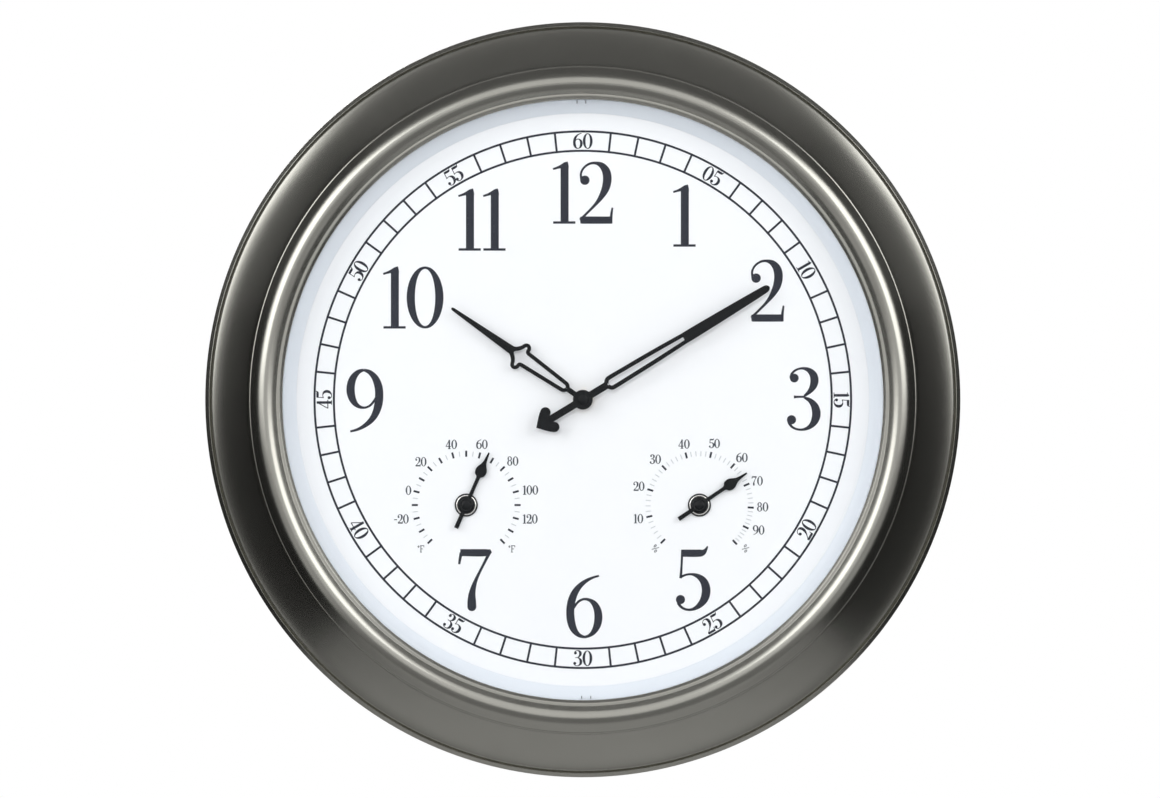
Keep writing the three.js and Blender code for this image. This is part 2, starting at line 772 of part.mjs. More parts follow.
function makeMovementBase() {
  const rear = caseSplit + fitGap;
  const rooted = trayFloor + caseWall / 2;
  const hollow = caseBlock(caseWall, rear - cutOverrun, trayFloor);
  const tray = caseBlock(0, rear, movementFront).subtract(hollow);
  const pivotPlaces = [secondPlace, firstPlace, rotorPlace];
  const pivotBossRear = trayFloor - pivotBossLength;
  const pinFront = bridgeFront + 2 * fitGap;
  const posts = [
    rod(bushRadius, rooted, bushFront, rodSides),
    ...pivotPlaces.map((at) => rod(pivotBossRadius, pivotBossRear, rooted, screwSides, at)),
    ...bridgePostPlaces.map((at) => rod(bridgePostRadius, bridgeFront + fitGap, rooted, screwSides, at)),
    ...bridgePostPlaces.map((at) => rod(bridgePinRadius, bridgeRear, pinFront, screwSides, at)),
    ...casePostPlaces.map((at) => rod(casePostRadius, rear, rooted, screwSides, at)),
    rod(pivotRadius, reverseWheelRear - fitGap, rooted, screwSides, reversePlace),
    saddle(-1),
    saddle(1),
  ];
  const bores = [
    rod(tubeRadius + fitGap, trayFloor - cutOverrun, bushFront + cutOverrun, rodSides),
    ...pivotPlaces.map((at) =>
      rod(pivotHoleRadius, pivotBossRear - cutOverrun, pivotFront + fitGap, screwSides, at)),
    ...casePostPlaces.map((at) => rod(
      caseScrewRadius + threadGap, rear - cutOverrun, movementRear + caseScrewLength, screwSides, at)),
  ];
  addPiece("movement_base", cut(joined([tray, ...posts]), bores), blackPlastic);
}

function makeBridge() {
  const [lowLeft, highLeft, lowRight] = bridgePostPlaces;
  const margin = bridgeMargin;
  const outline = shapeOf([
    [lowLeft[0] - margin, lowLeft[1] - margin],
    [lowRight[0] + margin, lowRight[1] - margin],
    [lowRight[0] + margin, lowRight[1] + margin],
    [rotorPlace[0] + margin, rotorPlace[1] + margin],
    [highLeft[0] + margin, highLeft[1] + margin],
    [highLeft[0] - margin, highLeft[1] + margin],
  ]);
  const through = [bridgeRear - cutOverrun, bridgeFront + cutOverrun];
  const pivotHoles = [[0, 0], secondPlace, firstPlace, rotorPlace].map((at) =>
    rod(pivotHoleRadius, ...through, screwSides, at));
  const pinHoles = bridgePostPlaces.map((at) => rod(bridgePinRadius + fitGap, ...through, screwSides, at));
  const bridge = cut(plate(outline, bridgeRear, bridgeFront), [...pivotHoles, ...pinHoles]);
  addPiece("train_bridge", bridge, greyPlastic);
}

// Bay for the cell, open to the rear, along the bottom of the case
const bayCellGap = 0.6;
const cellRecess = 0.9;
const cellHeight = caseBottom + caseWall + fitGap + bayWall + bayCellGap + cellRadius;
const cellDepth = movementRear + cellRecess + cellRadius;
const bayTop = cellHeight + cellRadius + bayCellGap;
const bayBottom = cellHeight - cellRadius - bayCellGap;
const bayFloor = cellDepth + cellRadius + fitGap;

const buttonRadius = 2.2;
const buttonFlangeRadius = 3;
const buttonFlangeThickness = 0.8;
const buttonProud = 1;
const buttonPitch = 12;
const buttonTravel = 0.8;
const buttonHeight = 30;
const buttonFootLength = 1.8;
const boardThickness = 1.6;
const boardSideGap = 7.2;
const boardTopGap = 2.5;
const boardHalfWidth = caseHalfWidth - boardSideGap;
const boardStandoff = buttonFlangeThickness + buttonTravel + buttonFootLength;
const boardRear = movementRear + caseWall + boardStandoff;
const padRadius = 1.5;
const padPlaceShares = [[-0.85, -0.2], [0.85, -0.2], [-0.85, 0.82], [0.85, 0.82]];

const buttonNames = ["set_button", "zone_button", "wave_button"];
const buttonPlaces = buttonNames.map((_, i) => [(i - 1) * buttonPitch, buttonHeight]);

function makeMovementCover() {
  const inside = movementRear + caseWall;
  const outer = caseBlock(0, movementRear, caseSplit);
  const side = caseHalfWidth - caseWall;
  const hollow = block([-side, side], [bayTop + bayWall, caseTop - caseWall],
    [inside, caseSplit + cutOverrun]);
  const boxSide = bayHalfLength + bayWall;
  const bayBox = block([-boxSide, boxSide], [bayBottom - bayWall, bayTop + bayWall],
    [inside, bayFloor + bayWall]);
  const bay = block([-bayHalfLength, bayHalfLength], [bayBottom, bayTop],
    [movementRear - cutOverrun, bayFloor]);
  const padPlaces = padPlaceShares.map(([x, z]) => [x * boardHalfWidth, z * caseTop]);
  const pads = padPlaces.map((at) =>
    rod(padRadius, inside - caseWall / 2, boardRear - fitGap, screwSides, at));
  const posts = casePostPlaces.map((at) =>
    rod(casePostRadius, inside - caseWall / 2, caseSplit, screwSides, at));
  const holes = [
    ...buttonPlaces.map((at) =>
      rod(buttonRadius + fitGap, movementRear - cutOverrun, inside + cutOverrun, rodSides, at)),
    ...casePostPlaces.map((at) =>
      rod(caseScrewRadius + ringGap, movementRear - cutOverrun, caseSplit + cutOverrun, screwSides, at)),
  ];
  const tray = joined([outer.subtract(hollow), bayBox, ...pads, ...posts]);
  addPiece("movement_cover", cut(tray, [bay, ...holes]), blackPlastic);
}

function makeButtons() {
  const rear = movementRear - buttonProud;
  const flange = movementRear + caseWall + fitGap;
  const front = boardRear - fitGap - buttonTravel;
  const solid = turned([
    [0, rear],
    [buttonRadius, rear],
    [buttonRadius, flange],
    [buttonFlangeRadius, flange],
    [buttonFlangeRadius, flange + buttonFlangeThickness],
    [buttonRadius, flange + buttonFlangeThickness],
    [buttonRadius, front],
    [0, front],
  ], rodSides);
  buttonNames.forEach((name, i) => placed(addPiece(name, solid, greyPlastic), buttonPlaces[i]));
}

function makeCaseScrews() {
  addScrews("case_screw", casePostPlaces, movementRear - fitGap,
    [caseScrewHeadRadius, caseScrewHeadHeight, caseScrewRadius, caseScrewLength]);
}

// Washers and the hexagonal nut that clamp the movement to the dial

const washerRadius = 9;
const frontWasherRadius = 5.9;
const frontWasherThickness = 0.6;
const nutFlats = 10;
const nutSides = 6;
const nutThickness = 2;

function makeMounting() {
  const inner = bushRadius + fitGap;
  const rear = ring(inner, washerRadius, washerRear, washerRear + washerThickness, rodSides);
  addPiece("rear_washer", rear, rubber);
  const frontRear = dialFront + fitGap;
  const front = ring(inner, frontWasherRadius, frontRear, frontRear + frontWasherThickness, rodSides);
  addPiece("front_washer", front, brass);
  const nutRear = frontRear + frontWasherThickness + fitGap;
  const corner = nutFlats / 2 / Math.cos(Math.PI / nutSides);
  const nut = rod(corner, nutRear, nutRear + nutThickness, nutSides);
  const bore = rod(inner, nutRear - cutOverrun, nutRear + nutThickness + cutOverrun, rodSides);
  addPiece("mounting_nut", nut.subtract(bore), brass);
}

// Circuit board with its chip and crystal on the rear side

const chipSize = 9;
const chipHeight = 1.2;
const chipPlaceShare = 0.25;
const crystalRadius = 0.8;
const crystalLength = 6;
const crystalPlaceShare = 0.35;

function makeElectronics() {
  const boardBottom = bayTop + bayWall + bayCellGap;
  const board = block([-boardHalfWidth, boardHalfWidth], [boardBottom, caseTop - boardTopGap],
    [boardRear, boardRear + boardThickness]);
  addPiece("circuit_board", board, boardGreen);
  const chipMiddle = chipPlaceShare * caseTop;
  const chip = block([-chipSize / 2, chipSize / 2], [chipMiddle - chipSize / 2, chipMiddle + chipSize / 2],
    [boardRear - fitGap - chipHeight, boardRear - fitGap]);
  addPiece("control_chip", chip, blackPlastic);
  const crystal = crossBar([[0, 0], [crystalRadius, 0], [crystalRadius, crystalLength], [0, crystalLength]],
    screwSides, [crystalPlaceShare * boardHalfWidth, chipMiddle], boardRear - fitGap - crystalRadius);
  addPiece("quartz_crystal", crystal, steel);
}

// Antenna: a ferrite rod along the top of the case, with its winding

function makeAntenna() {
  const rodProfile = [
    [0, -antennaHalfLength],
    [antennaRadius, -antennaHalfLength],
    [antennaRadius, antennaHalfLength],
    [0, antennaHalfLength],
  ];
  addPiece("antenna_rod", crossBar(rodProfile, rodSides, [0, antennaHeight], antennaDepth), ferrite);
  const bore = antennaRadius + fitGap;
  const coilProfile = [
    [bore, -antennaCoilHalfLength],
    [antennaCoilRadius, -antennaCoilHalfLength],
    [antennaCoilRadius, antennaCoilHalfLength],
    [bore, antennaCoilHalfLength],
  ];
  addPiece("antenna_coil", crossBar(coilProfile, rodSides, [0, antennaHeight], antennaDepth), copper);
}

// Stepping motor: a plate around the rotor, a core beside it and the winding on the core.
// Places are shares of the stator's height, from the rotor.

const statorHeight = 26.2;
const statorThickness = 1.2;
const statorHoleGap = 0.6;
const statorShares = [
  [[-0.168, 0.221], [-0.183, 0.18]],
  [[0.069, 0.698], [0.176, 0.328]],
  [[0.126, 0.279], [-0.672, -0.137]],
  [[0.126, 0.698], [-0.672, -0.538]],
];
const coreShares = [[0.508, 0.622], [-0.672, 0.328]];
const windingShares = [-0.48, 0.149];
const windingRadius = 3.5;
const statorRear = centreWheelRear - fitGap;

function makeMotor() {
  const inStator = ([low, high]) => [low * statorHeight, high * statorHeight];
  const depths = [statorRear, statorRear + statorThickness];
  const blocks = statorShares.map(([across, up]) => block(inStator(across), inStator(up), depths));
  const hole = rod(magnetRadius + statorHoleGap, statorRear - cutOverrun, depths[1] + cutOverrun, rodSides);
  placed(addPiece("motor_stator", joined(blocks).subtract(hole), steel), rotorPlace);
  const coreRear = statorRear + statorThickness + fitGap;
  const [coreAcross, coreUp] = coreShares.map(inStator);
  const core = block(coreAcross, coreUp, [coreRear, coreRear + statorThickness]);
  placed(addPiece("coil_core", core, steel), rotorPlace);
  const [windingLow, windingHigh] = inStator(windingShares);
  const windingLength = windingHigh - windingLow;
  const winding = new THREE.CylinderGeometry(windingRadius, windingRadius, windingLength, rodSides);
  winding.rotateX(Math.PI / 2);
  const coreMiddle = (coreAcross[0] + coreAcross[1]) / 2;
  winding.translate(coreMiddle, -coreRear - statorThickness / 2, (windingLow + windingHigh) / 2);
  const passage = block([coreAcross[0] - fitGap, coreAcross[1] + fitGap], coreUp,
    [coreRear - fitGap, coreRear + statorThickness + fitGap]);
  placed(addPiece("motor_coil", solidOf(winding).subtract(passage), copper), rotorPlace);
}

// Cell with its two contacts

const contactHalfWidth = 5;
const contactRear = 6.5;
const contactFoot = 1.4;
const springWire = 0.7;
const springTurns = 3;
const springWideRadius = 5;
const springNarrowRadius = 1.4;
const springSteps = 8;
const springSides = 5;
const wireGapShown = 0.4;

const contactRight = bayHalfLength - fitGap;
const cellRight = contactRight - contactThickness - fitGap;
const cellLeft = cellRight - cellLength;

function makeCell() {
  const shoulder = cellRight - cellNubLength;
  const cell = crossBar([
    [0, cellLeft],
    [cellRadius, cellLeft],
    [cellRadius, shoulder],
    [cellNubRadius, shoulder],
    [cellNubRadius, cellRight],
    [0, cellRight],
  ], discSides, [0, cellHeight], cellDepth);
  addPiece("battery", cell, cellJacket);
  const upright = block([contactRight - contactThickness, contactRight],
    [cellHeight - contactHalfWidth, cellHeight + contactHalfWidth], [contactRear, bayFloor - fitGap]);
  const foot = block([contactRight - contactFoot, contactRight],
    [cellHeight - contactHalfWidth / 2, cellHeight + contactHalfWidth / 2],
    [bayFloor - fitGap - contactThickness, bayFloor - fitGap]);
  addPiece("contact_positive", upright.add(foot), steel);
}

// Points of the conical spring, from the bay's wall to the cell, about the cell's axis.
// Both ends run straight along the axis for one wire diameter.
function springPoints() {
  const from = -bayHalfLength + fitGap;
  const to = cellLeft - fitGap;
  const count = springTurns * springSteps;
  const points = [new THREE.Vector3(from, 0, springWideRadius)];
  for (let i = 0; i <= count; i += 1) {
    const share = i / count;
    const angle = 2 * Math.PI * springTurns * share;
    const radius = springWideRadius + (springNarrowRadius - springWideRadius) * share;
    const x = from + springWire + (to - from - 2 * springWire) * share;
    points.push(new THREE.Vector3(x, radius * Math.sin(angle), radius * Math.cos(angle)));
  }
  points.push(new THREE.Vector3(to, 0, springNarrowRadius));
  return points;
}

// Closed tube through the points, its section carried along without twist
function sweptTube(points, radius, sides) {
  const corners = [];
  const index = [];
  const normal = new THREE.Vector3(0, 1, 0);
  const last = points.length - 1;
  points.forEach((point, i) => {
    const before = points[Math.max(i - 1, 0)];
    const after = points[Math.min(i + 1, last)];
    const inward = i > 0 ? point.clone().sub(before).normalize() : new THREE.Vector3();
    const onward = i < last ? after.clone().sub(point).normalize() : new THREE.Vector3();
    const tangent = inward.add(onward).normalize();
    normal.addScaledVector(tangent, -normal.dot(tangent)).normalize();
    const binormal = tangent.clone().cross(normal);
    for (let k = 0; k < sides; k += 1) {
      const angle = (2 * Math.PI * k) / sides;
      const corner = point.clone().addScaledVector(normal, radius * Math.cos(angle));
      corner.addScaledVector(binormal, radius * Math.sin(angle));
      corners.push(...corner.toArray());
    }
  });
  for (let i = 0; i < last; i += 1) {
    for (let k = 0; k < sides; k += 1) {
      const [a, b] = [i * sides + k, i * sides + ((k + 1) % sides)];
      index.push(a, b, a + sides, b, b + sides, a + sides);
    }
  }
  for (let k = 1; k < sides - 1; k += 1) {
    index.push(0, k + 1, k);
    index.push(last * sides, last * sides + k, last * sides + k + 1);
  }
  const geometry = new THREE.BufferGeometry();
  geometry.setAttribute("position", new THREE.Float32BufferAttribute(corners, 3));
  geometry.setIndex(index);
  return geometry;
}

// Least gap of a wire to itself, between places more than half a turn apart along it
function leastGap(points, wire, apart) {
  let least = Infinity;
  for (let i = 1; i < points.length - 1; i += 1) {
    for (let k = i + apart; k < points.length - 1; k += 1) {
      least = Math.min(least, points[i].distanceTo(points[k]) - wire);
    }
  }
  return least;
}

function makeSpring() {
  const points = springPoints();
  const gap = leastGap(points, springWire, springSteps / 2);
  console.log(`least gap of the spring to itself: ${gap.toFixed(2)} mm, over ${wireGapShown} mm`);
  const tube = sweptTube(points, springWire / 2, springSides);
  tube.translate(0, -cellDepth, cellHeight);
  addPiece("contact_negative", solidOf(tube), steel);
}

// Hands: half outlines as shares of the hand's length, along it and to one side

const hourHandLength = 97;
const minuteHandLength = 131.8;
const handHubRadius = 6;
const capRadius = 3;
const capThickness = 1.7;
const hourOuterShares = [
  [0.03, 0.016], [0.106, 0.016], [0.125, 0.031], [0.437, 0.053], [0.446, 0.08], [0.465, 0.095],
  [0.49, 0.09], [0.501, 0.069], [0.503, 0.05], [0.525, 0.03], [0.6, 0.022], [0.985, 0.007], [1, 0],
];
const hourInnerShares = [
  [0.122, 0], [0.137, 0.014], [0.425, 0.034], [0.459, 0.046], [0.459, 0.064], [0.471, 0.075],
  [0.483, 0.066], [0.479, 0.047], [0.497, 0.022], [0.515, 0],
];
const minuteOuterShares = [
  [-0.25, 0], [-0.184, 0.048], [-0.161, 0.05], [-0.144, 0.042], [-0.14, 0.025], [-0.152, 0.014],
  [0.129, 0.0135], [0.158, 0.028], [0.542, 0.021], [0.985, 0.0145], [1, 0.005],
];
const minuteInnerShares = [[0.142, 0], [0.153, 0.014], [0.17, 0.0155], [0.543, 0.0085], [0.547, 0]];

function handShape(outerShares, innerShares, length) {
  const shape = shapeOf(mirrored(outerShares, length));
  shape.holes.push(pathOf(mirrored(innerShares, length)));
  return shape;
}

function makeHands() {
  const turnedBy = (degrees) => THREE.MathUtils.degToRad(degrees);
  const hourBore = rod(tubeRadius + fitGap, hourHandRear - cutOverrun,
    hourHandFront + cutOverrun, rodSides);
  const hourShape = handShape(hourOuterShares, hourInnerShares, hourHandLength);
  const hourHand = joined([
    plate(hourShape, hourHandRear, hourHandFront),
    rod(handHubRadius, hourHandRear, hourHandFront, discSides),
  ]).subtract(hourBore);
  addPiece("hour_hand", hourHand, blackPaint).rotation.y = turnedBy(hourAngle);
  const minuteBore = rod(arborRadius + fitGap, minuteHandRear - cutOverrun,
    minuteHandFront + cutOverrun, rodSides);
  const minuteShape = handShape(minuteOuterShares, minuteInnerShares, minuteHandLength);
  const minuteHand = joined([
    plate(minuteShape, minuteHandRear, minuteHandFront),
    rod(handHubRadius, minuteHandRear, minuteHandFront, discSides),
  ]).subtract(minuteBore);
  addPiece("minute_hand", minuteHand, blackPaint).rotation.y = turnedBy(minuteAngle);
  const capRear = minuteHandFront + fitGap;
  const cap = rod(capRadius, capRear, capRear + capThickness, rodSides);
  const capBore = rod(arborRadius + fitGap, capRear - cutOverrun,
    minuteHandFront + arborOverhang + fitGap, rodSides);
  addPiece("hand_cap", cap.subtract(capBore), blackPaint).rotation.y = turnedBy(minuteAngle);
}

// Gauges: each is a cup behind the dial whose neck carries a collar, and a wound strip that turns
// the pointer's arbor

const gaugeArborRadius = 1;
const barWidth = 6;
const barThickness = 1.6;
const collarRadius = 7;
const collarThickness = 1;
const stripThickness = 0.4;
const stripWidth = 5;
const stripTurns = 3;
const stripSteps = 16;
const stripClearance = 1.4;
const pointerLength = 34.2;
const pointerThickness = 0.8;
const pointerHubRadius = 4.6;
const pointerHubThickness = 1.2;
const pointerShares = [
  [-0.44, 0.036], [0.1, 0.03], [0.55, 0.03], [0.585, 0.072], [0.654, 0.097], [0.727, 0.082],
  [0.83, 0.03], [1, 0.012],
];

const cupFront = dialRear - fitGap;
const cupRear = cupFront - cupDepth;
const collarRear = dialFront + fitGap;
const pointerRear = collarRear + collarThickness + fitGap;
const pointerFront = pointerRear + pointerHubThickness;

function cupSolid() {
  const across = cupRadius - cupWall / 2;
  const body = joined([
    rod(cupRadius, cupFront - cupWall, cupFront, discSides),
    ring(cupRadius - cupWall, cupRadius, cupRear, cupFront - cupWall / 2, discSides),
    block([-across, across], [-barWidth / 2, barWidth / 2], [cupRear, cupRear + barThickness]),
    rod(gaugeNeckRadius, cupFront - cupWall / 2, collarRear + collarThickness, rodSides),
  ]);
  const bore = rod(gaugeArborRadius + fitGap, cupRear - cutOverrun, pointerRear, screwSides);
  return body.subtract(bore);
}

// Strip wound from the arbor out to the cup's wall at a steady rate
function stripSolid() {
  const half = stripThickness / 2;
  const inner = gaugeArborRadius + fitGap + half;
  const outer = cupRadius - cupWall - fitGap - half;
  const count = stripTurns * stripSteps;
  const edge = (offset) => Array.from({ length: count + 1 }, (_, i) =>
    onCircle(inner + ((outer - inner) * i) / count + offset, (360 * i) / stripSteps));
  const outline = shapeOf([...edge(half), ...edge(-half).reverse()]);
  const rear = cupRear + barThickness + stripClearance;
  return plate(outline, rear, rear + stripWidth);
}

function pointerSolid() {
  const outline = shapeOf(mirrored(pointerShares, pointerLength));
  const blade = plate(outline, pointerFront - pointerThickness, pointerFront);
  const hub = rod(pointerHubRadius, pointerRear, pointerFront, discSides);
  const bore = rod(gaugeArborRadius + fitGap, pointerRear - cutOverrun,
    pointerFront - pointerThickness / 2, screwSides);
  return blade.add(hub).subtract(bore);
}

function makeGauge(name, stripFinish, at, angle) {
  const gauge = new THREE.Group();
  gauge.position.set(at[0], 0, at[1]);
  root.add(gauge);
  addPiece(`${name}_cup`, cupSolid(), blackPlastic, gauge);
  addPiece(`${name}_strip`, stripSolid(), stripFinish, gauge);
  const arbor = rod(gaugeArborRadius, cupRear + fitGap, pointerFront - pointerThickness, screwSides);
  addPiece(`${name}_arbor`, arbor, steel, gauge);
  const collarFront = collarRear + collarThickness;
  const collar = ring(gaugeNeckRadius + fitGap, collarRadius, collarRear, collarFront, discSides);
  addPiece(`${name}_collar`, collar, steel, gauge);
  const pointer = addPiece(`${name}_pointer`, pointerSolid(), blackPaint, gauge);
  pointer.rotation.y = THREE.MathUtils.degToRad(angle);
}

makeBezel();
makeLensStack();
makeDialRing();
makeDial();
makeRearCover();
makeScrews();
makeMovementBase();
makeMovementCover();
makeBridge();
makeTrain();
makeMotionWork();
makeMounting();
makeElectronics();
makeAntenna();
makeMotor();
makeCell();
makeSpring();
makeButtons();
makeCaseScrews();
makeHands();
makeGauge("thermometer", brass, gaugePlaces[0], thermometerAngle);
makeGauge("hygrometer", copper, gaugePlaces[1], hygrometerAngle);

export default root;
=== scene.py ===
"""Dressed model of a round outdoor wall clock with a thermometer and a hygrometer on its dial.

Shapes are worked out in millimetres. A depth is measured forward from the wall, so a depth d lies
at y = -d, and a place on the dial is [x, z] from the hands' axis. Angles are clockwise from 12.
"""
import math

import bpy
import numpy as np
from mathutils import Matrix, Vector


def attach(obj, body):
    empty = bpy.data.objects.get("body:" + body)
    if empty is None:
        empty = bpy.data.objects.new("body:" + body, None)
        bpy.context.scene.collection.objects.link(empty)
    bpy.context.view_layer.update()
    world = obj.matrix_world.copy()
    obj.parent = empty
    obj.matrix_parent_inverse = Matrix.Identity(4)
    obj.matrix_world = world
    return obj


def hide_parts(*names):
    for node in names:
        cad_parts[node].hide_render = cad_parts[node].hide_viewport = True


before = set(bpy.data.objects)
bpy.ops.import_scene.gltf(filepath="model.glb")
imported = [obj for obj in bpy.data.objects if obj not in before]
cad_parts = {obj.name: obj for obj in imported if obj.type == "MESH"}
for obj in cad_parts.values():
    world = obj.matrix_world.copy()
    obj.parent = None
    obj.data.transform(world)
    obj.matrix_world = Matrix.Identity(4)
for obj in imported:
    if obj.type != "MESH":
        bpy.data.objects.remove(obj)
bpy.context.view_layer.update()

bl_info = {
    "name": "Outdoor Wall Clock",
    "version": (1, 0, 0),
    "blender": (4, 5, 0),
    "location": "3D View > Sidebar > Clock",
    "description": "Builds the visible pieces of a wall clock around its CAD frame",
    "category": "Object",
}

MM = 1000.0

# Photograph: its width in pixels, the millimetres that one pixel shows, and how far the clock's
# middle lies right of the picture's and above it, in pixels
PHOTO_WIDTH = 1160
PHOTO_SCALE = 0.6047
PHOTO_MIDDLE = (2.8, -0.7)


# Places taken from the frame

def corners_of(node):
    """Corners of a CAD node in millimetres, as [x, depth, z]."""
    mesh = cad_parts[node].data
    values = np.empty(len(mesh.vertices) * 3, np.float32)
    mesh.vertices.foreach_get("co", values)
    return values.reshape(-1, 3).astype(float) * [MM, -MM, MM]


def box_of(node):
    """Least and greatest corner of a CAD node's box in millimetres, as [x, depth, z]."""
    corners = corners_of(node)
    return corners.min(0), corners.max(0)


def rear_and_front(node):
    """Least and greatest depth of a CAD node in millimetres."""
    low, high = box_of(node)
    return low[1], high[1]


def middle(node):
    """Middle of a CAD node's box on the dial, as [x, z] in millimetres."""
    low, high = box_of(node)
    return (low[[0, 2]] + high[[0, 2]]) / 2


def reach(node):
    """Greatest radius of a CAD node about the hands' axis in millimetres."""
    corners = corners_of(node)
    return np.hypot(corners[:, 0], corners[:, 2]).max()


def resting_angle(node, centre, band=0.2):
    """Angle from a centre to the far end of a CAD node: to the mean of the corners that lie within
    a narrow band of radii there."""
    away = corners_of(node)[:, [0, 2]] - centre
    distance = np.hypot(away[:, 0], away[:, 1])
    x, z = away[distance > distance.max() - band].mean(0)
    return math.degrees(math.atan2(x, z))


# Surfaces. Each is worked out in millimetres as [x, depth, z]. A shell is a pair: points as
# [x, y, z] in millimetres, and triangles.

# Corners that agree in this many digits of a millimetre are merged
MERGE_DIGITS = 4


def grid(rows, columns, ring=False, loop=False):
    """Triangles of a grid of points. A ring joins the last column to the first, a loop the rows."""
    i, j = np.meshgrid(
        np.arange(rows if loop else rows - 1),
        np.arange(columns if ring else columns - 1),
        indexing="ij",
    )
    below, beside = (i + 1) % rows, (j + 1) % columns
    a, b = i * columns + j, i * columns + beside
    c, d = below * columns + beside, below * columns + j
    return np.concatenate([
        np.stack([a, b, c], -1).reshape(-1, 3),
        np.stack([a, c, d], -1).reshape(-1, 3),
    ])


def capped(rows, columns):
    """Triangles of a grid of rings, with a fan over its first ring and over its last."""
    fan = np.array([[0, k + 1, k] for k in range(1, columns - 1)])
    return np.concatenate([grid(rows, columns, ring=True), fan,
                           fan[:, ::-1] + (rows - 1) * columns])


def shell(points, triangles):
    """Closed shell: shared corners merged, faces with no area dropped and the rest facing out.

    The sum of a . (b x c) over the faces is six times the volume, and above 0 if they face out.
    A depth d becomes y = -d, which turns each face round.
    """
    points = np.asarray(points, float).reshape(-1, 3)
    _, kept, index = np.unique(
        np.round(points, MERGE_DIGITS), axis=0, return_index=True, return_inverse=True)
    points, triangles = points[kept], index.reshape(-1)[triangles]
    a, b, c = triangles.T
    triangles = triangles[(a != b) & (b != c) & (c != a)]
    a, b, c = points[triangles].transpose(1, 0, 2)
    volume = np.einsum("ij,ij->", a - a[0], np.cross(b - a[0], c - a[0]))
    return points * [1, -1, 1], triangles[:, ::-1] if volume > 0 else triangles


def together(*shells):
    """Several shells as one, with no corner shared between them."""
    starts = np.cumsum([0] + [len(points) for points, _ in shells[:-1]])
    return (
        np.concatenate([points for points, _ in shells]),
        np.concatenate([faces + start for (_, faces), start in zip(shells, starts)]),
    )


def softened(profile, radius, steps=3, loop=True):
    """Profile with its corners rounded: at each corner a quadratic curve from one side to the next.

    It starts and ends at the radius from the corner, or at 0.45 of a shorter side. A holding point
    lies a tenth farther out on each side, so that flat sides shade flat.
    """
    corner = np.asarray(profile, float)
    before, after = np.roll(corner, 1, 0), np.roll(corner, -1, 0)
    t = np.linspace(0, 1, steps + 1)[None, :, None]

    def towards(other):
        side = other - corner
        length = np.maximum(np.hypot(side[:, 0], side[:, 1]), 1e-9)[:, None]
        return side / length, np.minimum(radius, 0.45 * length)

    (back, back_length), (on, on_length) = towards(before), towards(after)
    start, end = corner + back * back_length, corner + on * on_length
    curve = ((1 - t) ** 2 * start[:, None] + 2 * t * (1 - t) * corner[:, None]
             + t ** 2 * end[:, None])
    held = np.concatenate([
        (corner + back * back_length * 1.1)[:, None], curve,
        (corner + on * on_length * 1.1)[:, None],
    ], 1)
    if loop:
        return held.reshape(-1, 2)
    return np.concatenate([corner[:1], held[1:-1].reshape(-1, 2), corner[-1:]])


def arc_points(centre, radii, start, end, steps):
    """Points of an ellipse's arc between two angles in degrees: 0 points outwards, 90 forwards."""
    angle = np.radians(np.linspace(start, end, steps + 1))
    return np.stack([centre[0] + radii[0] * np.cos(angle), centre[1] + radii[1] * np.sin(angle)], -1)


def revolved(profile, sides):
    """Rings of a profile of [radius, place on the axis]: that place, radius sin(angle) and
    radius cos(angle) over a grid of both, and its triangles.

    A profile that starts and ends on the axis closes in two poles, and one that stays off it
    closes on itself.
    """
    radius, place = np.asarray(profile, float).T
    angle = np.linspace(0, 2 * np.pi, sides, endpoint=False)
    aside, up = radius[:, None] * np.sin(angle), radius[:, None] * np.cos(angle)
    triangles = grid(len(radius), sides, ring=True, loop=radius[0] > 0)
    return np.broadcast_to(place[:, None], aside.shape), aside, up, triangles


def turned(profile, sides, centre=(0, 0)):
    """Surface of revolution of a profile of [radius, depth] about a line square to the wall."""
    depth, aside, up, triangles = revolved(profile, sides)
    return shell(np.stack([aside + centre[0], depth, up + centre[1]], -1), triangles)


def laid(profile, sides, height, depth):
    """Surface of revolution of a profile of [radius, x] about a line along x."""
    along, aside, up, triangles = revolved(profile, sides)
    return shell(np.stack([along, aside + depth, up + height], -1), triangles)


def spline(points, steps):
    """Smooth curve through points: between each two a cubic that starts and ends with the slopes
    there. The slope at a point is the way from the point before to the one after over the length
    of both sides, so that a long straight side stays nearly straight next to a short one."""
    points = np.asarray(points, float)
    if len(points) == 2:
        return points
    sides = np.diff(points, axis=0)
    length = np.maximum(np.hypot(sides[:, 0], sides[:, 1]), 1e-6)[:, None]
    slope = np.concatenate([sides[:1] / length[:1],
                            (points[2:] - points[:-2]) / (length[1:] + length[:-1]),
                            sides[-1:] / length[-1:]])
    t = (np.arange(steps) / steps)[None, :, None]
    start, end, on, off = points[:-1, None], points[1:, None], slope[:-1, None], slope[1:, None]
    curve = ((2 * t ** 3 - 3 * t ** 2 + 1) * start + (3 * t ** 2 - 2 * t ** 3) * end
             + length[:, None] * ((t ** 3 - 2 * t ** 2 + t) * on + (t ** 3 - t ** 2) * off))
    return np.concatenate([curve.reshape(-1, points.shape[1]), points[-1:]])


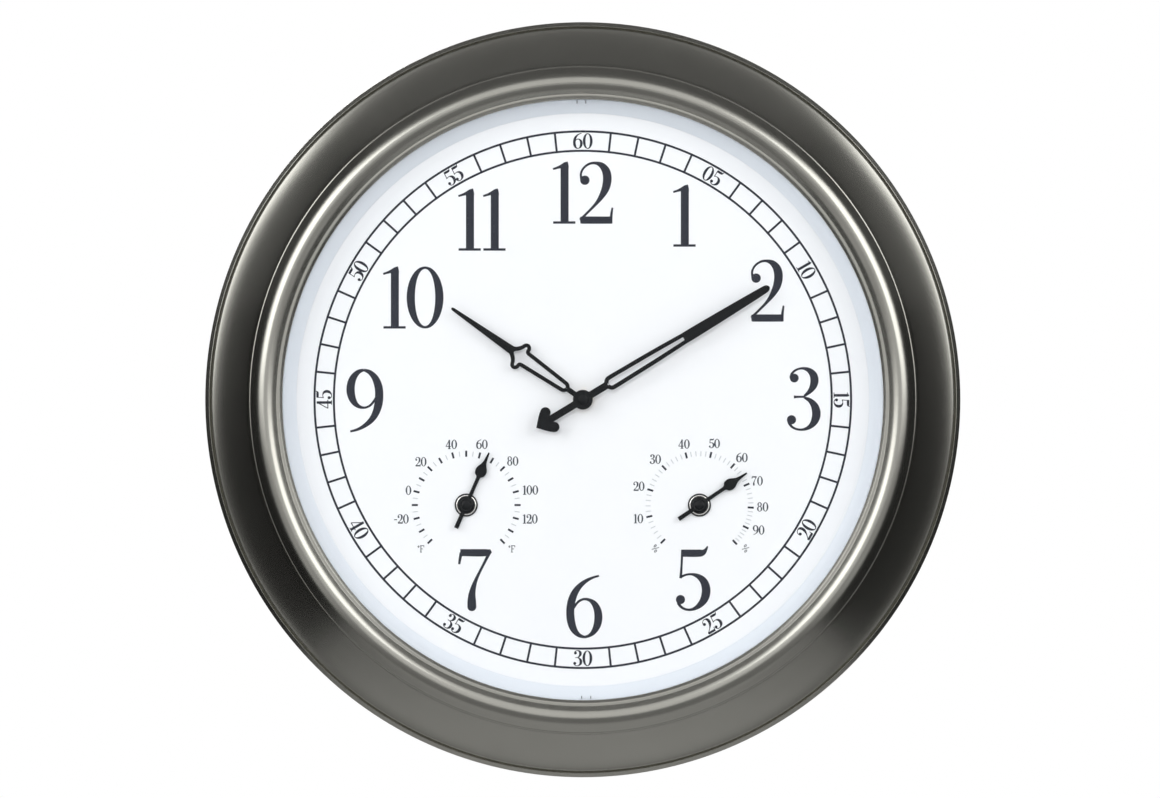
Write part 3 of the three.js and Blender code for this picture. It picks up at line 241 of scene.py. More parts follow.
def stroke(path, rear, front, bevel=0.0, loop=False):
    """Flat bar along a path of [x, z, half width]: a section with bevelled front edges is carried
    along it, square to the path, and its ends are closed or joined in a loop."""
    path = np.asarray(path, float)
    place, half = path[:, :2], np.maximum(path[:, 2], 0.01)
    if loop:
        tangent = np.roll(place, -1, 0) - np.roll(place, 1, 0)
    else:
        tangent = np.gradient(place, axis=0)
    tangent /= np.maximum(np.hypot(tangent[:, 0], tangent[:, 1]), 1e-9)[:, None]
    aside = np.stack([tangent[:, 1], -tangent[:, 0]], -1)
    chamfer = np.minimum(bevel, 0.45 * half)
    offset = np.stack([-half, -half, chamfer - half, half - chamfer, half, half], -1)
    depth = np.stack([
        np.full_like(half, rear), front - chamfer, np.full_like(half, front),
        np.full_like(half, front), front - chamfer, np.full_like(half, rear),
    ], -1)
    plan = place[:, None] + aside[:, None] * offset[..., None]
    points = np.stack([plan[..., 0], depth, plan[..., 1]], -1)
    return shell(points, grid(*offset.shape, ring=True, loop=True) if loop else capped(*offset.shape))


def ring_section(inner, outer, rear, front):
    """Rectangular section of a ring as [radius, depth]."""
    return [(inner, rear), (outer, rear), (outer, front), (inner, front)]


def disc(radius, rear, front, centre, sides=28, bevel=0.0):
    """Flat round plate with a bevelled front edge."""
    return turned([(0, rear), (radius, rear), (radius, front - bevel), (radius - bevel, front),
                   (0, front)], sides, centre)


def moved(part, turn, shift):
    """Shell turned clockwise in the plane of the dial by an angle and then shifted by [x, z]."""
    points, faces = part
    s, c = math.sin(math.radians(turn)), math.cos(math.radians(turn))
    x, y, z = points.T
    return np.stack([x * c + z * s + shift[0], y, z * c - x * s + shift[1]], -1), faces


def tube(path, radius, sides=10):
    """Round wire along a path of [x, depth, z]: a circle in the plane square to the path, turned
    along with it by a frame of the path's direction and the x axis."""
    path = np.asarray(path, float)
    tangent = np.gradient(path, axis=0)
    tangent /= np.linalg.norm(tangent, axis=1)[:, None]
    first = np.cross(tangent, [1.0, 0.0, 0.0])
    first /= np.linalg.norm(first, axis=1)[:, None]
    second = np.cross(tangent, first)
    angle = np.linspace(0, 2 * np.pi, sides, endpoint=False)[None, :, None]
    around = first[:, None] * np.cos(angle) + second[:, None] * np.sin(angle)
    return shell(path[:, None] + radius * around, capped(len(path), sides))


# Finishes

def linear(code):
    """Colour of an sRGB hex code in linear light: below 0.04045 a line, above it a power of 2.4."""
    channels = np.array([int(code[i:i + 2], 16) for i in (1, 3, 5)]) / 255
    straight, curved = channels / 12.92, ((channels + 0.055) / 1.055) ** 2.4
    return (*np.where(channels <= 0.04045, straight, curved), 1.0)


def per_metre(millimetres):
    """Pattern scale on Object coordinates, whose unit is a metre, for details of a size."""
    return MM / millimetres


def add(tree, kind, inputs=None, **settings):
    """One node with its settings, and its inputs' values or the sockets that feed them."""
    node = tree.nodes.new("ShaderNode" + kind)
    for name, value in settings.items():
        setattr(node, name, value)
    for key, value in (inputs or {}).items():
        if isinstance(value, bpy.types.NodeSocket):
            tree.links.new(value, node.inputs[key])
        else:
            node.inputs[key].default_value = value
    return node


def new_finish(name):
    """Empty material with its tree, its output and a socket of Object coordinates."""
    material = bpy.data.materials.new(name)
    material.use_nodes = True
    tree = material.node_tree
    tree.nodes.clear()
    output = add(tree, "OutputMaterial")
    place = add(tree, "TexCoord").outputs["Object"]
    return material, tree, output, place


def grained(name, colours, size, roughness, bump, **values):
    """Surface whose colour, roughness and height follow a grain of a size in millimetres.

    Two hex colours are mixed by the grain times a broad cloud 25 times as large, plus a quarter.
    The roughness runs between two values, and bump is the height of the grain in millimetres.
    Values are the Principled sockets that hold everywhere.
    """
    material, tree, output, place = new_finish(name)
    grain = add(tree, "TexNoise", {"Vector": place, "Scale": per_metre(size), "Detail": 3.0})
    cloud = add(tree, "TexNoise", {"Vector": place, "Scale": per_metre(size * 25), "Detail": 2.0})
    share = add(tree, "Math", {0: grain.outputs["Fac"], 1: cloud.outputs["Fac"], 2: 0.25},
                operation="MULTIPLY_ADD")
    colour = add(tree, "Mix", {0: share.outputs[0], 6: linear(colours[0]), 7: linear(colours[1])},
                 data_type="RGBA")
    rough = add(tree, "MapRange", {"Value": grain.outputs["Fac"], "To Min": roughness[0],
                                   "To Max": roughness[1]})
    height = add(tree, "Bump", {"Height": grain.outputs["Fac"], "Distance": bump / MM,
                                "Strength": 1.0})
    surface = add(tree, "BsdfPrincipled", {
        "Base Color": colour.outputs[2], "Roughness": rough.outputs[0],
        "Normal": height.outputs[0], **values})
    tree.links.new(surface.outputs[0], output.inputs["Surface"])
    return material


def pewter_lacquer():
    """Metallic lacquer on a moulded bezel: fine flakes give a satin grey with soft highlights."""
    return grained("pewter_lacquer", ("#9d9c95", "#adaca5"), 0.9, (0.25, 0.27), 0.0006,
                   Metallic=1.0)


def white_moulding():
    """Smooth white moulding around the dial: a cool white with a soft sheen."""
    return grained("white_moulding", ("#dde4ec", "#e4eaf1"), 1.2, (0.38, 0.46), 0.003)


def dial_lacquer():
    """Matt white lacquer on a printed aluminium dial: nearly flat, with a faint cool tone."""
    return grained("dial_lacquer", ("#f0f3f6", "#f5f7fa"), 0.8, (0.55, 0.68), 0.002)


def printing_ink():
    """Screen printed ink: a dark blue grey film, a little glossier than the dial."""
    return grained("printing_ink", ("#23262e", "#2e313c"), 0.6, (0.5, 0.65), 0.002,
                   **{"Specular IOR Level": 0.3})


def fine_printing_ink():
    """The same ink in small marks, which the print leaves thinner and greyer."""
    return grained("fine_printing_ink", ("#3b4047", "#4a4f57"), 0.5, (0.5, 0.62), 0.001,
                   **{"Specular IOR Level": 0.3})


def pale_printing_ink():
    """Pale grey ink of the minor marks of the scales."""
    return grained("pale_printing_ink", ("#c3c8cc", "#cdd1d5"), 0.5, (0.5, 0.62), 0.001)


def hand_enamel():
    """Black enamel on stamped hands: satin, with the faint waviness of a dipped coat."""
    return grained("hand_enamel", ("#0a0c0e", "#111417"), 1.5, (0.3, 0.42), 0.004,
                   **{"Specular IOR Level": 0.2})


def black_moulding():
    """Black ABS with a spark eroded texture: matt, with a grit that breaks up its highlights."""
    return grained("black_moulding", ("#17181a", "#232527"), 0.7, (0.5, 0.66), 0.03)


def grey_moulding():
    """Grey acetal buttons and bridge: smooth and slightly waxy."""
    return grained("grey_moulding", ("#84898c", "#92979a"), 0.8, (0.38, 0.5), 0.008)


def gear_acetal():
    """Natural acetal wheels: ivory, smooth and slightly waxy."""
    return grained("gear_acetal", ("#ded8c6", "#ebe6d8"), 0.8, (0.35, 0.45), 0.004)


def moulded_rubber():
    """Black rubber seals: dull, with a faint bloom."""
    return grained("moulded_rubber", ("#1f2021", "#2e2f30"), 0.9, (0.75, 0.9), 0.02)


def zinc_plated_steel():
    """Zinc plated steel screws and contacts: a bluish silver with a slightly uneven passivation."""
    return grained("zinc_plated_steel", ("#a9aeb3", "#c0c3c4"), 1.2, (0.22, 0.36), 0.004,
                   Metallic=1.0)


def turned_brass():
    """Brass washers, nut and arbors: warm yellow with fine tool marks."""
    return grained("turned_brass", ("#b8964f", "#cbab62"), 0.5, (0.22, 0.34), 0.004,
                   Metallic=1.0)


def enamelled_copper():
    """Enamelled copper wire: a glossy reddish brown."""
    return grained("enamelled_copper", ("#8a4a2a", "#a55d36"), 0.6, (0.25, 0.35), 0.004,
                   Metallic=0.8)


def sintered_ferrite():
    """Sintered ferrite: dark grey, finely porous and slightly metallic."""
    return grained("sintered_ferrite", ("#2f3032", "#414245"), 0.4, (0.5, 0.65), 0.01,
                   Metallic=0.3)


def solder_resist():
    """Green solder resist over a circuit board: a glossy film with the weave below it."""
    return grained("solder_resist", ("#1f5a36", "#2b6f45"), 0.8, (0.25, 0.35), 0.004)


def cell_jacket():
    """Shrunk plastic jacket on a cell: dark slate with a smooth gloss."""
    return grained("cell_jacket", ("#33383d", "#40464c"), 2.0, (0.22, 0.3), 0.003)


def polished_nickel():
    """Nickel plated and polished collar: bright, with a fine grain left in the plating."""
    material, tree, output, place = new_finish("polished_nickel")
    grain = add(tree, "TexNoise", {"Vector": place, "Scale": per_metre(0.4), "Detail": 2.0})
    height = add(tree, "Bump", {"Height": grain.outputs["Fac"], "Distance": 0.004 / MM,
                                "Strength": 1.0})
    colour = add(tree, "Mix", {0: grain.outputs["Fac"], 6: linear("#e6e5e1"),
                               7: linear("#f6f5f2")}, data_type="RGBA")
    surface = add(tree, "BsdfPrincipled", {
        "Base Color": colour.outputs[2], "Metallic": 1.0, "Roughness": 0.14,
        "Normal": height.outputs[0]})
    tree.links.new(surface.outputs[0], output.inputs["Surface"])
    return material


def clear_glass():
    """Clear flat glass with a thin coating against glare: what lies behind it shows through, and
    only a little of the room is mirrored, more of it at a slant, by the face that meets the light
    first."""
    material, tree, output, _ = new_finish("clear_glass")
    mirror = add(tree, "BsdfPrincipled", {"Base Color": (1, 1, 1, 1), "Metallic": 1.0,
                                          "Roughness": 0.03})
    through = add(tree, "BsdfTransparent", {"Color": linear("#fefefe")})
    outside = add(tree, "Math", {0: 1.0, 1: add(tree, "NewGeometry").outputs["Backfacing"]},
                  operation="SUBTRACT")
    share = add(tree, "Math", {0: add(tree, "Fresnel", {"IOR": 1.13}).outputs[0],
                               1: outside.outputs[0]}, operation="MULTIPLY")
    mixed = add(tree, "MixShader", {0: share.outputs[0], 1: through.outputs[0],
                                    2: mirror.outputs[0]})
    tree.links.new(mixed.outputs[0], output.inputs["Surface"])
    return material


FINISHES = {}


def finish(make):
    """The material of a finish, made once."""
    if make not in FINISHES:
        FINISHES[make] = make()
    return FINISHES[make]


# Pieces

SHARP_ANGLE = math.radians(33)


def mesh_of(name, part):
    """Mesh in metres of a shell in millimetres."""
    points, faces = part
    mesh = bpy.data.meshes.new(name)
    mesh.from_pydata((points / MM).tolist(), [], faces.tolist())
    return mesh


def shade(mesh):
    """Shades a mesh smooth, apart from its sharp edges."""
    mesh.shade_smooth()
    mesh.set_sharp_from_angle(angle=SHARP_ANGLE)


def linked(name, data):
    """Object of a mesh, a lamp or a camera, linked to the scene."""
    made = bpy.data.objects.new(name, data)
    bpy.context.scene.collection.objects.link(made)
    return made


def piece(name, part, make, body, replaced=()):
    """Object of a shell with a finish, which rides on a body and may replace CAD nodes."""
    mesh = mesh_of(name, part)
    mesh.validate()
    shade(mesh)
    mesh.materials.append(finish(make))
    made = linked(name, mesh)
    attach(made, body)
    if replaced:
        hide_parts(*replaced)
    return made


def dress(names, make):
    """Gives CAD nodes that stay in view a finish."""
    for name in names:
        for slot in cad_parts[name].material_slots:
            slot.material = finish(make)


# Bezel

CLOCK_RADIUS = reach("bezel")
BEZEL_REAR, BEZEL_FRONT = rear_and_front("bezel")
BEZEL_WIDTH = 47.3
OPENING_RADIUS = CLOCK_RADIUS - BEZEL_WIDTH


def hollow_arc(outer, inner, radius, steps):
    """Arc that is hollow towards the front, from one point of [radius, depth] to another."""
    outer, inner = np.array(outer, float), np.array(inner, float)
    chord = inner - outer
    length = np.hypot(*chord)
    square = np.array([chord[1], -chord[0]]) / length
    centre = (outer + inner) / 2 + square * math.sqrt(radius ** 2 - length ** 2 / 4)
    start, end = (math.atan2(*(point - centre)[::-1]) for point in (outer, inner))
    angle = np.linspace(start, end, steps + 1)
    return centre + radius * np.stack([np.cos(angle), np.sin(angle)], -1)


# Front of the bezel from its rim to its lip: how far each place lies in from the rim in
# millimetres, and how far the surface tilts there from the wall in degrees, outwards if positive
BEZEL_TILTS = [
    (0.03, 80), (0.15, 58), (0.4, 42), (1.5, 42), (2.1, 43), (2.4, 30), (2.5, -84), (2.62, -84),
    (2.7, 50), (3.4, 46), (4.1, 42), (4.45, 33), (4.8, 32), (5.6, 33.9), (7.0, 35.7), (9.4, 38.2),
    (12.4, 41), (16.0, 43), (20.0, 44.7), (25.0, 47.5), (26.0, 58), (26.9, 66), (27.15, 45),
    (27.4, 34), (27.7, 32), (28.0, 42), (28.4, 50), (30.5, 50), (31.2, 47), (31.9, 42.5),
    (32.9, 36), (34.0, 30), (35.1, 22), (36.0, 13), (36.9, 0), (37.7, -10), (38.6, -19),
    (39.4, -26), (40.2, -32), (41.0, -38), (41.6, -41), (42.3, -43.5), (43.6, -46), (43.85, -6),
    (44.2, 3), (44.7, 0), (45.2, -6), (45.5, -14), (45.6, -40), (47.1, -43), (47.2, -80),
]
BEZEL_STEPS = 4

# Skirt of the bezel: how far each place lies in from the rim and in front of the rear, and how far
# behind the front's first place the rim's side ends
SKIRT = [(3.2, 0), (0.8, 0), (0.24, 0.24), (0, 0.8)]
RIM_BAND = 0.3

# Back of the bezel: how far each place lies in from the rim and behind the front
LENS_POCKET = [(BEZEL_WIDTH, 6.2), (40.4, 6.2), (40.4, 10.7), (30.3, 10.7)]
COVE_BACK = [(5.6, 31.5), (27.4, 12.1)]
COVE_BACK_RADIUS = 98.8
COVER_SEAT = [(3.2, 32.6), (3.2, 37.3), (7.0, 39.2), (7.0, 41.7), (3.2, 41.7)]

# Screw bosses: radii, how far they start in front of the cover's rear, and how far they end behind
# the bezel's front. They are cut to a cone: its place, in from the rim and behind the front, and
# its depth per radius.
BOSS_BORE, BOSS_RADIUS = 1.8, 4.0
BOSS_FROM_REAR, BOSS_FROM_FRONT = 4.9, 12.5
CONE_INWARDS, CONE_BEHIND, CONE_SLOPE = 20.6, 16.9, 0.887
COVER_SCREWS = [f"cover_screw_{i}" for i in range(1, 7)]


def bezel_front():
    """Front of the bezel as [radius, depth]: the depth grows inwards by the tangent of the tilt, in
    the mean of each two places. The tilt is read between the table's places along straight lines,
    and the highest place lies at the node's front."""
    places, tilts = np.array(BEZEL_TILTS, float).T
    share = np.linspace(0, len(places) - 1, (len(places) - 1) * BEZEL_STEPS + 1)
    inwards = np.interp(share, np.arange(len(places)), places)
    slope = np.tan(np.radians(np.interp(share, np.arange(len(places)), tilts)))
    rise = np.concatenate([[0], np.cumsum(np.diff(inwards) * (slope[1:] + slope[:-1]) / 2)])
    return np.stack([CLOCK_RADIUS - inwards, BEZEL_FRONT + rise - rise.max()], -1)


def behind_front(places):
    """Places that lie in from the rim and behind the front, as [radius, depth]."""
    return [(CLOCK_RADIUS - inwards, BEZEL_FRONT - behind) for inwards, behind in places]


def bezel_profile():
    """Section of the bezel: skirt and front, then the lens pocket, the back of the cove and the
    seat of the rear cover."""
    front = bezel_front()
    return np.concatenate([
        [(CLOCK_RADIUS - inwards, BEZEL_REAR + forward) for inwards, forward in SKIRT],
        [(CLOCK_RADIUS, front[0, 1] - RIM_BAND)],
        front,
        behind_front(LENS_POCKET),
        hollow_arc(*behind_front(COVE_BACK), COVE_BACK_RADIUS, 12)[::-1],
        behind_front(COVER_SEAT),
    ])


def bezel_bosses():
    """Screw bosses inside the bezel, one around each screw of the rear cover.

    Their front ends are cut to a cone that lies inside the wall of the cove.
    """
    rear = rear_and_front("rear_cover")[0] + BOSS_FROM_REAR
    section = softened(ring_section(BOSS_BORE, BOSS_RADIUS, rear, BEZEL_FRONT - BOSS_FROM_FRONT), 0.3)
    bosses = []
    for screw in COVER_SCREWS:
        points, faces = turned(section, 20, middle(screw))
        radius = np.hypot(points[:, 0], points[:, 2])
        cone = BEZEL_FRONT - CONE_BEHIND - CONE_SLOPE * (radius - CLOCK_RADIUS + CONE_INWARDS)
        points[:, 1] = np.maximum(points[:, 1], -cone)
        bosses.append((points, faces))
    return bosses


class CLOCK_OT_bezel(bpy.types.Operator):
    """Bezel with its bead, cove and lip, turned in one section"""

    bl_idname = "clock.bezel"
    bl_label = "Bezel"

    def execute(self, context):
        sides = context.scene.clock_sizes.round_sides
        part = together(turned(bezel_profile(), sides), *bezel_bosses())
        piece("bezel_moulding", part, pewter_lacquer, "case", ["bezel"])
        return {"FINISHED"}


GASKET_WIDTH = 5.1


class CLOCK_OT_lens(bpy.types.Operator):
    """Flat glass with its gasket"""

    bl_idname = "clock.lens"
    bl_label = "Lens"

    def execute(self, context):
        sides = context.scene.clock_sizes.round_sides
        section = softened(ring_section(0, reach("lens"), *rear_and_front("lens")), 0.3, loop=False)
        piece("lens_glass", turned(section, sides), clear_glass, "case", ["lens"])
        outer = reach("lens_gasket")
        section = softened(
            ring_section(outer - GASKET_WIDTH, outer, *rear_and_front("lens_gasket")), 0.3)
        piece("lens_gasket_ring", turned(section, sides), moulded_rubber, "case",
              ["lens_gasket"])
        return {"FINISHED"}


# Wall of the dial ring: how far each place lies inside the opening's radius and behind the front,
# how far in its foot lies and how far out its back, and the thickness of the flange at its front
RING_WALL = [(0.3, 0), (0.9, 2.6), (2.4, 5.2), (4.7, 7.8)]
RING_FOOT = 8.1
RING_BACK = 1.7
FLANGE_THICKNESS = 1.8

# Notches in the wall, grey strips of painted shade: radii, how far behind the front they start and
# end, whether each is at the top or at the bottom with its place across, and half a notch's width
NOTCH_RADII = (178.9, 180.6)
NOTCH_DEPTHS = (3.0, 0.4)
NOTCHES = [(1, -3.5), (1, 1.7), (-1, -0.7), (-1, 4.8)]
NOTCH_HALF = 0.3


class CLOCK_OT_dial_ring(bpy.types.Operator):
    """White wall around the dial, hollow towards the front, with each notch's painted shade, and the
    dial's coat
    """

    bl_idname = "clock.dial_ring"
    bl_label = "Dial and its ring"

    def execute(self, context):
        sides = context.scene.clock_sizes.round_sides
        rear, front = rear_and_front("dial_ring")
        flange, back = reach("dial_ring"), front - FLANGE_THICKNESS
        wall = spline([(OPENING_RADIUS - inside, front - behind) for inside, behind in RING_WALL]
                      + [(OPENING_RADIUS - RING_FOOT, rear)], 5)
        section = np.concatenate([wall, [
            (OPENING_RADIUS + RING_BACK, rear), (OPENING_RADIUS + RING_BACK, back),
            (flange, back), (flange, front)]])
        piece("dial_ring_wall", turned(section, sides), white_moulding, "case",
              ["dial_ring"])
        depths = [front - behind for behind in NOTCH_DEPTHS]
        notch_shades = [stroke([(x, side * radius, NOTCH_HALF) for radius in NOTCH_RADII], *depths)
                   for side, x in NOTCHES]
        # Each notch is a grey strip laid on the wall, not a cut: its grey is painted shade
        piece("dial_ring_notch_shades", together(*notch_shades), grey_moulding, "case")
        dress(["dial_plate"], dial_lacquer)
        return {"FINISHED"}


# Numerals and the other printed marks

# The printed film starts a little inside the dial, and where two of its faces would share a plane,
# one lies a lift higher
DIAL_FRONT = rear_and_front("dial_plate")[1]
INK_ROOT = 0.05
INK_LIFT = 0.004

# Strokes of [across, up, half width] in units of a 62nd of a numeral's height, and the round ends
# as [across, up, radius]
GLYPH_HEIGHT = 62
GLYPHS = {
    "1": (
        [
            [(11.1, 0, 4), (11.1, 57, 4)],
            [(-0.5, 54.6, 1), (4, 56, 1.2), (8, 57.4, 1.9), (11.5, 58.4, 3), (14.9, 59.2, 3.1)],
            [(-0.3, 1.2, 1.2), (21.9, 1.2, 1.2)],
        ],
        [],
    ),
    "2": (
        [
            [(3.1, 43.9, 1.2), (2.7, 50.4, 1.1), (5.8, 56.2, 1.1), (11.5, 60, 1.2),
             (17.5, 60.6, 1.5), (23.5, 58.2, 3), (27.8, 52.4, 4.1), (29, 44.4, 4.3),
             (27.3, 35.4, 3.9), (22.8, 26.7, 2.6), (17.1, 19.2, 1.5), (9.5, 11.4, 1.2),
             (1.8, 3.8, 1.3)],
            [(1.9, 3.5, 3.2), (4, 3.6, 3.6), (33.1, 3.6, 3.6)],
            [(32.7, 0.2, 1.4), (33, 8.4, 1.3), (34.1, 16, 0.9)],
        ],
        [(6.6, 43.5, 4.7)],
    ),
    "3": (
        [
            [(3.8, 52.5, 1.3), (5.1, 57, 1.2), (9.4, 60.6, 1.1), (15.3, 62.1, 1.2),
             (21.4, 60.6, 2.3), (26.2, 56, 3.7), (27.6, 50, 4.1), (26.2, 44, 3.5),
             (22.6, 38.8, 2.2), (17.4, 34.4, 1.1)],
            [(7, 33.5, 1.5), (10.8, 33.6, 1.1), (18.2, 33.7, 1.1)],
            [(17.2, 33, 1.1), (23.1, 30, 2.3), (27.7, 24.5, 3.7), (29.5, 17.2, 4.3), (28, 10, 3.8),
             (23.6, 4.2, 2.4), (16.8, 1, 1.3), (9.8, 1.3, 1.1), (4.7, 4, 1.2), (1.6, 8.5, 1.4)],
        ],
        [(7.4, 52.4, 4.4), (4.6, 10.7, 4.6)],
    ),
    "4": (
        [
            [(24.5, 0, 3.9), (24.5, 61.5, 3.9)],
            [(25.5, 61, 1.4), (1.6, 17.5, 1.3)],
            [(0.4, 16.4, 1.4), (35.5, 16.4, 1.4)],
            [(15.5, 1.2, 1.2), (33.5, 1.2, 1.2)],
        ],
        [],
    ),
    "5": (
        [
            [(5.9, 57.9, 3.6), (24.5, 57.9, 3.6), (28, 59, 2.7), (30.2, 61.4, 1.5),
             (32, 64.8, 0.7)],
            [(6.6, 61.2, 1.2), (5.9, 45.4, 1.1), (5, 32.8, 1.4)],
            [(5, 34, 1.2), (10, 36.2, 1.1), (15.8, 36.8, 1.2), (22, 35, 2.3), (27.4, 30.6, 3.6),
             (30.1, 24.4, 4.2), (30.3, 17.9, 4.3), (28.3, 11.4, 3.9), (23.5, 5.5, 2.7),
             (17, 1.8, 1.5), (11, 1.5, 1.2), (5.6, 4, 1.3), (2.4, 8.4, 1.6)],
        ],
        [(4.8, 11.5, 4.6)],
    ),
    "6": (
        [
            [(33.2, 62.6, 1), (27.1, 60.8, 1.2), (20.6, 57.7, 1.8), (14.2, 52.7, 2.6),
             (9.1, 46, 3.4), (5.8, 37.6, 3.9), (4.4, 27.6, 4), (5.1, 17.6, 4), (7.8, 9.2, 3.4),
             (12.6, 3.5, 2.2), (18.4, 1.2, 1.3)],
            [(7.8, 30.4, 1.1), (12.2, 36.4, 1.2), (17.8, 39.2, 1.2), (23.3, 38.4, 1.6),
             (28.2, 34.9, 2.8), (31.6, 28.4, 3.7), (32.5, 20.6, 4), (31.1, 12.6, 3.6),
             (27.2, 5.8, 2.5), (22.6, 2.4, 1.5), (18.2, 1.2, 1.3)],
        ],
        [],
    ),
    "7": (
        [
            [(1.6, 58.6, 3.5), (28.4, 58.6, 3.5), (32.4, 60.4, 1.8)],
            [(2.6, 58.6, 1.6), (1.4, 52.6, 1.4), (0.5, 47, 1.1)],
            [(31.6, 60.2, 1.8), (27, 51, 1.4), (22, 41.2, 1.3), (17.5, 31.8, 1.7),
             (14.7, 23.6, 2.6), (13.3, 16.6, 3.5), (13.1, 9.6, 4.3), (13.2, 4.6, 4.4)],
        ],
        [(13.2, 4.6, 4.5)],
    ),
    "9": (
        [
            [(17.5, 62.2, 1.3), (12, 60.1, 2.3), (6.8, 54.1, 3.5), (4.4, 45.6, 4.1),
             (4.8, 37.6, 4), (7.6, 30.3, 3.1), (12.2, 25.8, 1.9), (17.5, 24.4, 1.2),
             (22.5, 25.8, 1.1), (26.3, 29.2, 1.2), (29.6, 34, 1.2)],
            [(17.5, 62.2, 1.3), (23.5, 59.8, 2.3), (29, 53.8, 3.4), (32.1, 45.6, 4),
             (32.9, 37.6, 4.1), (32.2, 28.6, 4.1), (29.7, 19.8, 3.6), (25.4, 12.6, 2.9),
             (19, 6.9, 2.1), (11.6, 2.8, 1.4), (3.9, 0.6, 1)],
        ],
        [],
    ),
    "-": ([[(0, 26, 2.4), (20, 26, 2.4)]], []),
    "F": (
        [
            [(16, 0, 4), (16, 61, 4)],
            [(8, 1.3, 1.3), (25, 1.3, 1.3)],
            [(8, 60.4, 1.8), (44, 60.4, 1.8)],
            [(43, 61, 1.6), (43.6, 46, 1.2)],
            [(19, 31, 1.6), (35, 31, 1.6)],
        ],
        [],
    ),
    "%": ([[(10, 0, 1.6), (46, 61, 1.6)]], []),
}

# Numerals made of loops: centre across and up, and reach across and up
LOOPS = {
    "0": [(18.7, 31.1, 14.3, 29.8)],
    "8": [(18, 17.8, 12.8, 16.6), (18, 47.4, 10.6, 13.6)],
    "%": [(10, 46, 7, 13), (46, 15, 7, 13)],
    "F": [(-6, 52, 5, 6.5)],
}
GLYPH_WIDTHS = {"0": 37.4, "1": 21.6, "2": 34.5, "3": 33.8, "4": 36, "5": 32.6, "6": 36.5,
                "7": 33.6, "8": 36, "9": 37, "-": 21, "F": 44, "%": 56}
LOOP_STEPS = 40
SPLINE_STEPS = 4


def loop_path(centre_x, centre_z, reach_x, reach_z):
    """Ellipse whose stroke is a hairline at top and bottom and swells at the sides by |cos|^1.6."""
    angle = np.linspace(0, 2 * np.pi, LOOP_STEPS, endpoint=False)
    half = 1.2 + 0.205 * reach_x * np.abs(np.cos(angle)) ** 1.6
    return np.stack([
        centre_x + reach_x * np.cos(angle), centre_z + reach_z * np.sin(angle), half], -1)


def lettering(text, height, at, turn, depths, least=0.0, weight=1.0, gap=3.0,
              baseline=False):
    """Numerals side by side, each a set of strokes, centred on a place of the dial and turned.

    Every stroke is scaled to the height, made bolder by a weight and at least a hairline wide, and
    each lies a hair higher than the one before, so that no two faces share a plane.
    """
    scale = height / GLYPH_HEIGHT
    width = sum(GLYPH_WIDTHS[sign] for sign in text) + gap * (len(text) - 1)
    across, lift, parts = -width / 2, 0.0, []
    for sign in text:
        strokes, dots = GLYPHS.get(sign, ([], []))
        paths = [(spline(points, SPLINE_STEPS), False) for points in strokes]
        paths += [(loop_path(*loop), True) for loop in LOOPS.get(sign, [])]
        for path, loop in paths:
            path = (path + [across, -GLYPH_HEIGHT / 2, 0]) * scale
            path[:, 2] = np.maximum(path[:, 2] * weight, least)
            lift += INK_LIFT
            parts.append(stroke(path, depths[0], depths[1] + lift, loop=loop))
        for x, z, radius in dots:
            lift += INK_LIFT
            centre = ((x + across) * scale, (z - GLYPH_HEIGHT / 2) * scale)
            parts.append(disc(radius * weight * scale, depths[0], depths[1] + lift, centre))
        across += GLYPH_WIDTHS[sign] + gap
    if baseline:
        at = (at[0], at[1] + height / 2)
    return moved(together(*parts), turn, at)


# Each hour numeral, where its middle lies across the dial and the height of its foot
HOUR_NUMERALS = [
    ("12", 0.2, 106.4), ("1", 61.5, 92.5), ("2", 111.2, 47.2), ("3", 133.6, -18.6),
    ("5", 66.0, -127.8), ("6", 0.8, -144.3), ("7", -64.9, -127.9), ("9", -131.8, -19.6),
    ("10", -102.2, 43.0), ("11", -60.9, 90.1),
]
HOUR_GAP, HOUR_GAP_TEN = 3.2, 1.0
TRACK_INNER, TRACK_OUTER = 150.5, 162.2


def ink_depths(sizes):
    """Rear and front of the printed film."""
    return DIAL_FRONT - INK_ROOT, DIAL_FRONT + sizes.ink_height * MM


def on_circle(radius, angle):
    """Place at a radius and an angle clockwise from 12 o'clock, as [x, z]."""
    return np.array([math.sin(math.radians(angle)), math.cos(math.radians(angle))]) * radius


def radial_mark(centre, inner, outer, angle, half, depths):
    """Straight mark from one radius to another."""
    ends = [(*(centre + on_circle(radius, angle)), half) for radius in (inner, outer)]
    return stroke(ends, *depths)


def circle_line(radius, half, depths, sides):
    """Printed circle around the hands' axis."""
    return turned(ring_section(radius - half, radius + half, *depths), sides)


class CLOCK_OT_minute_track(bpy.types.Operator):
    """Minute track: two circles, marks, and a number at each fifth that reads upright"""

    bl_idname = "clock.minute_track"
    bl_label = "Minute track"

    def execute(self, context):
        sizes = context.scene.clock_sizes
        depths, half = ink_depths(sizes), sizes.line_width * MM / 2
        parts = [circle_line(radius, half, depths, sizes.round_sides)
                 for radius in (TRACK_INNER, TRACK_OUTER)]
        raised = depths[0], depths[1] + INK_LIFT
        parts += [radial_mark(0, TRACK_INNER, TRACK_OUTER, 6 * minute, half, raised)
                  for minute in range(60) if minute % 5]
        middle_radius = (TRACK_INNER + TRACK_OUTER) / 2
        for minute in range(5, 65, 5):
            angle = 6 * minute
            turn = angle + 180 if 15 < minute < 45 else angle
            parts.append(lettering(
                f"{minute:02d}", sizes.track_numeral_height * MM, on_circle(middle_radius, angle),
                turn, depths, least=sizes.hairline * MM / 2, weight=sizes.small_weight))
        piece("minute_track", together(*parts), printing_ink, "case")
        return {"FINISHED"}


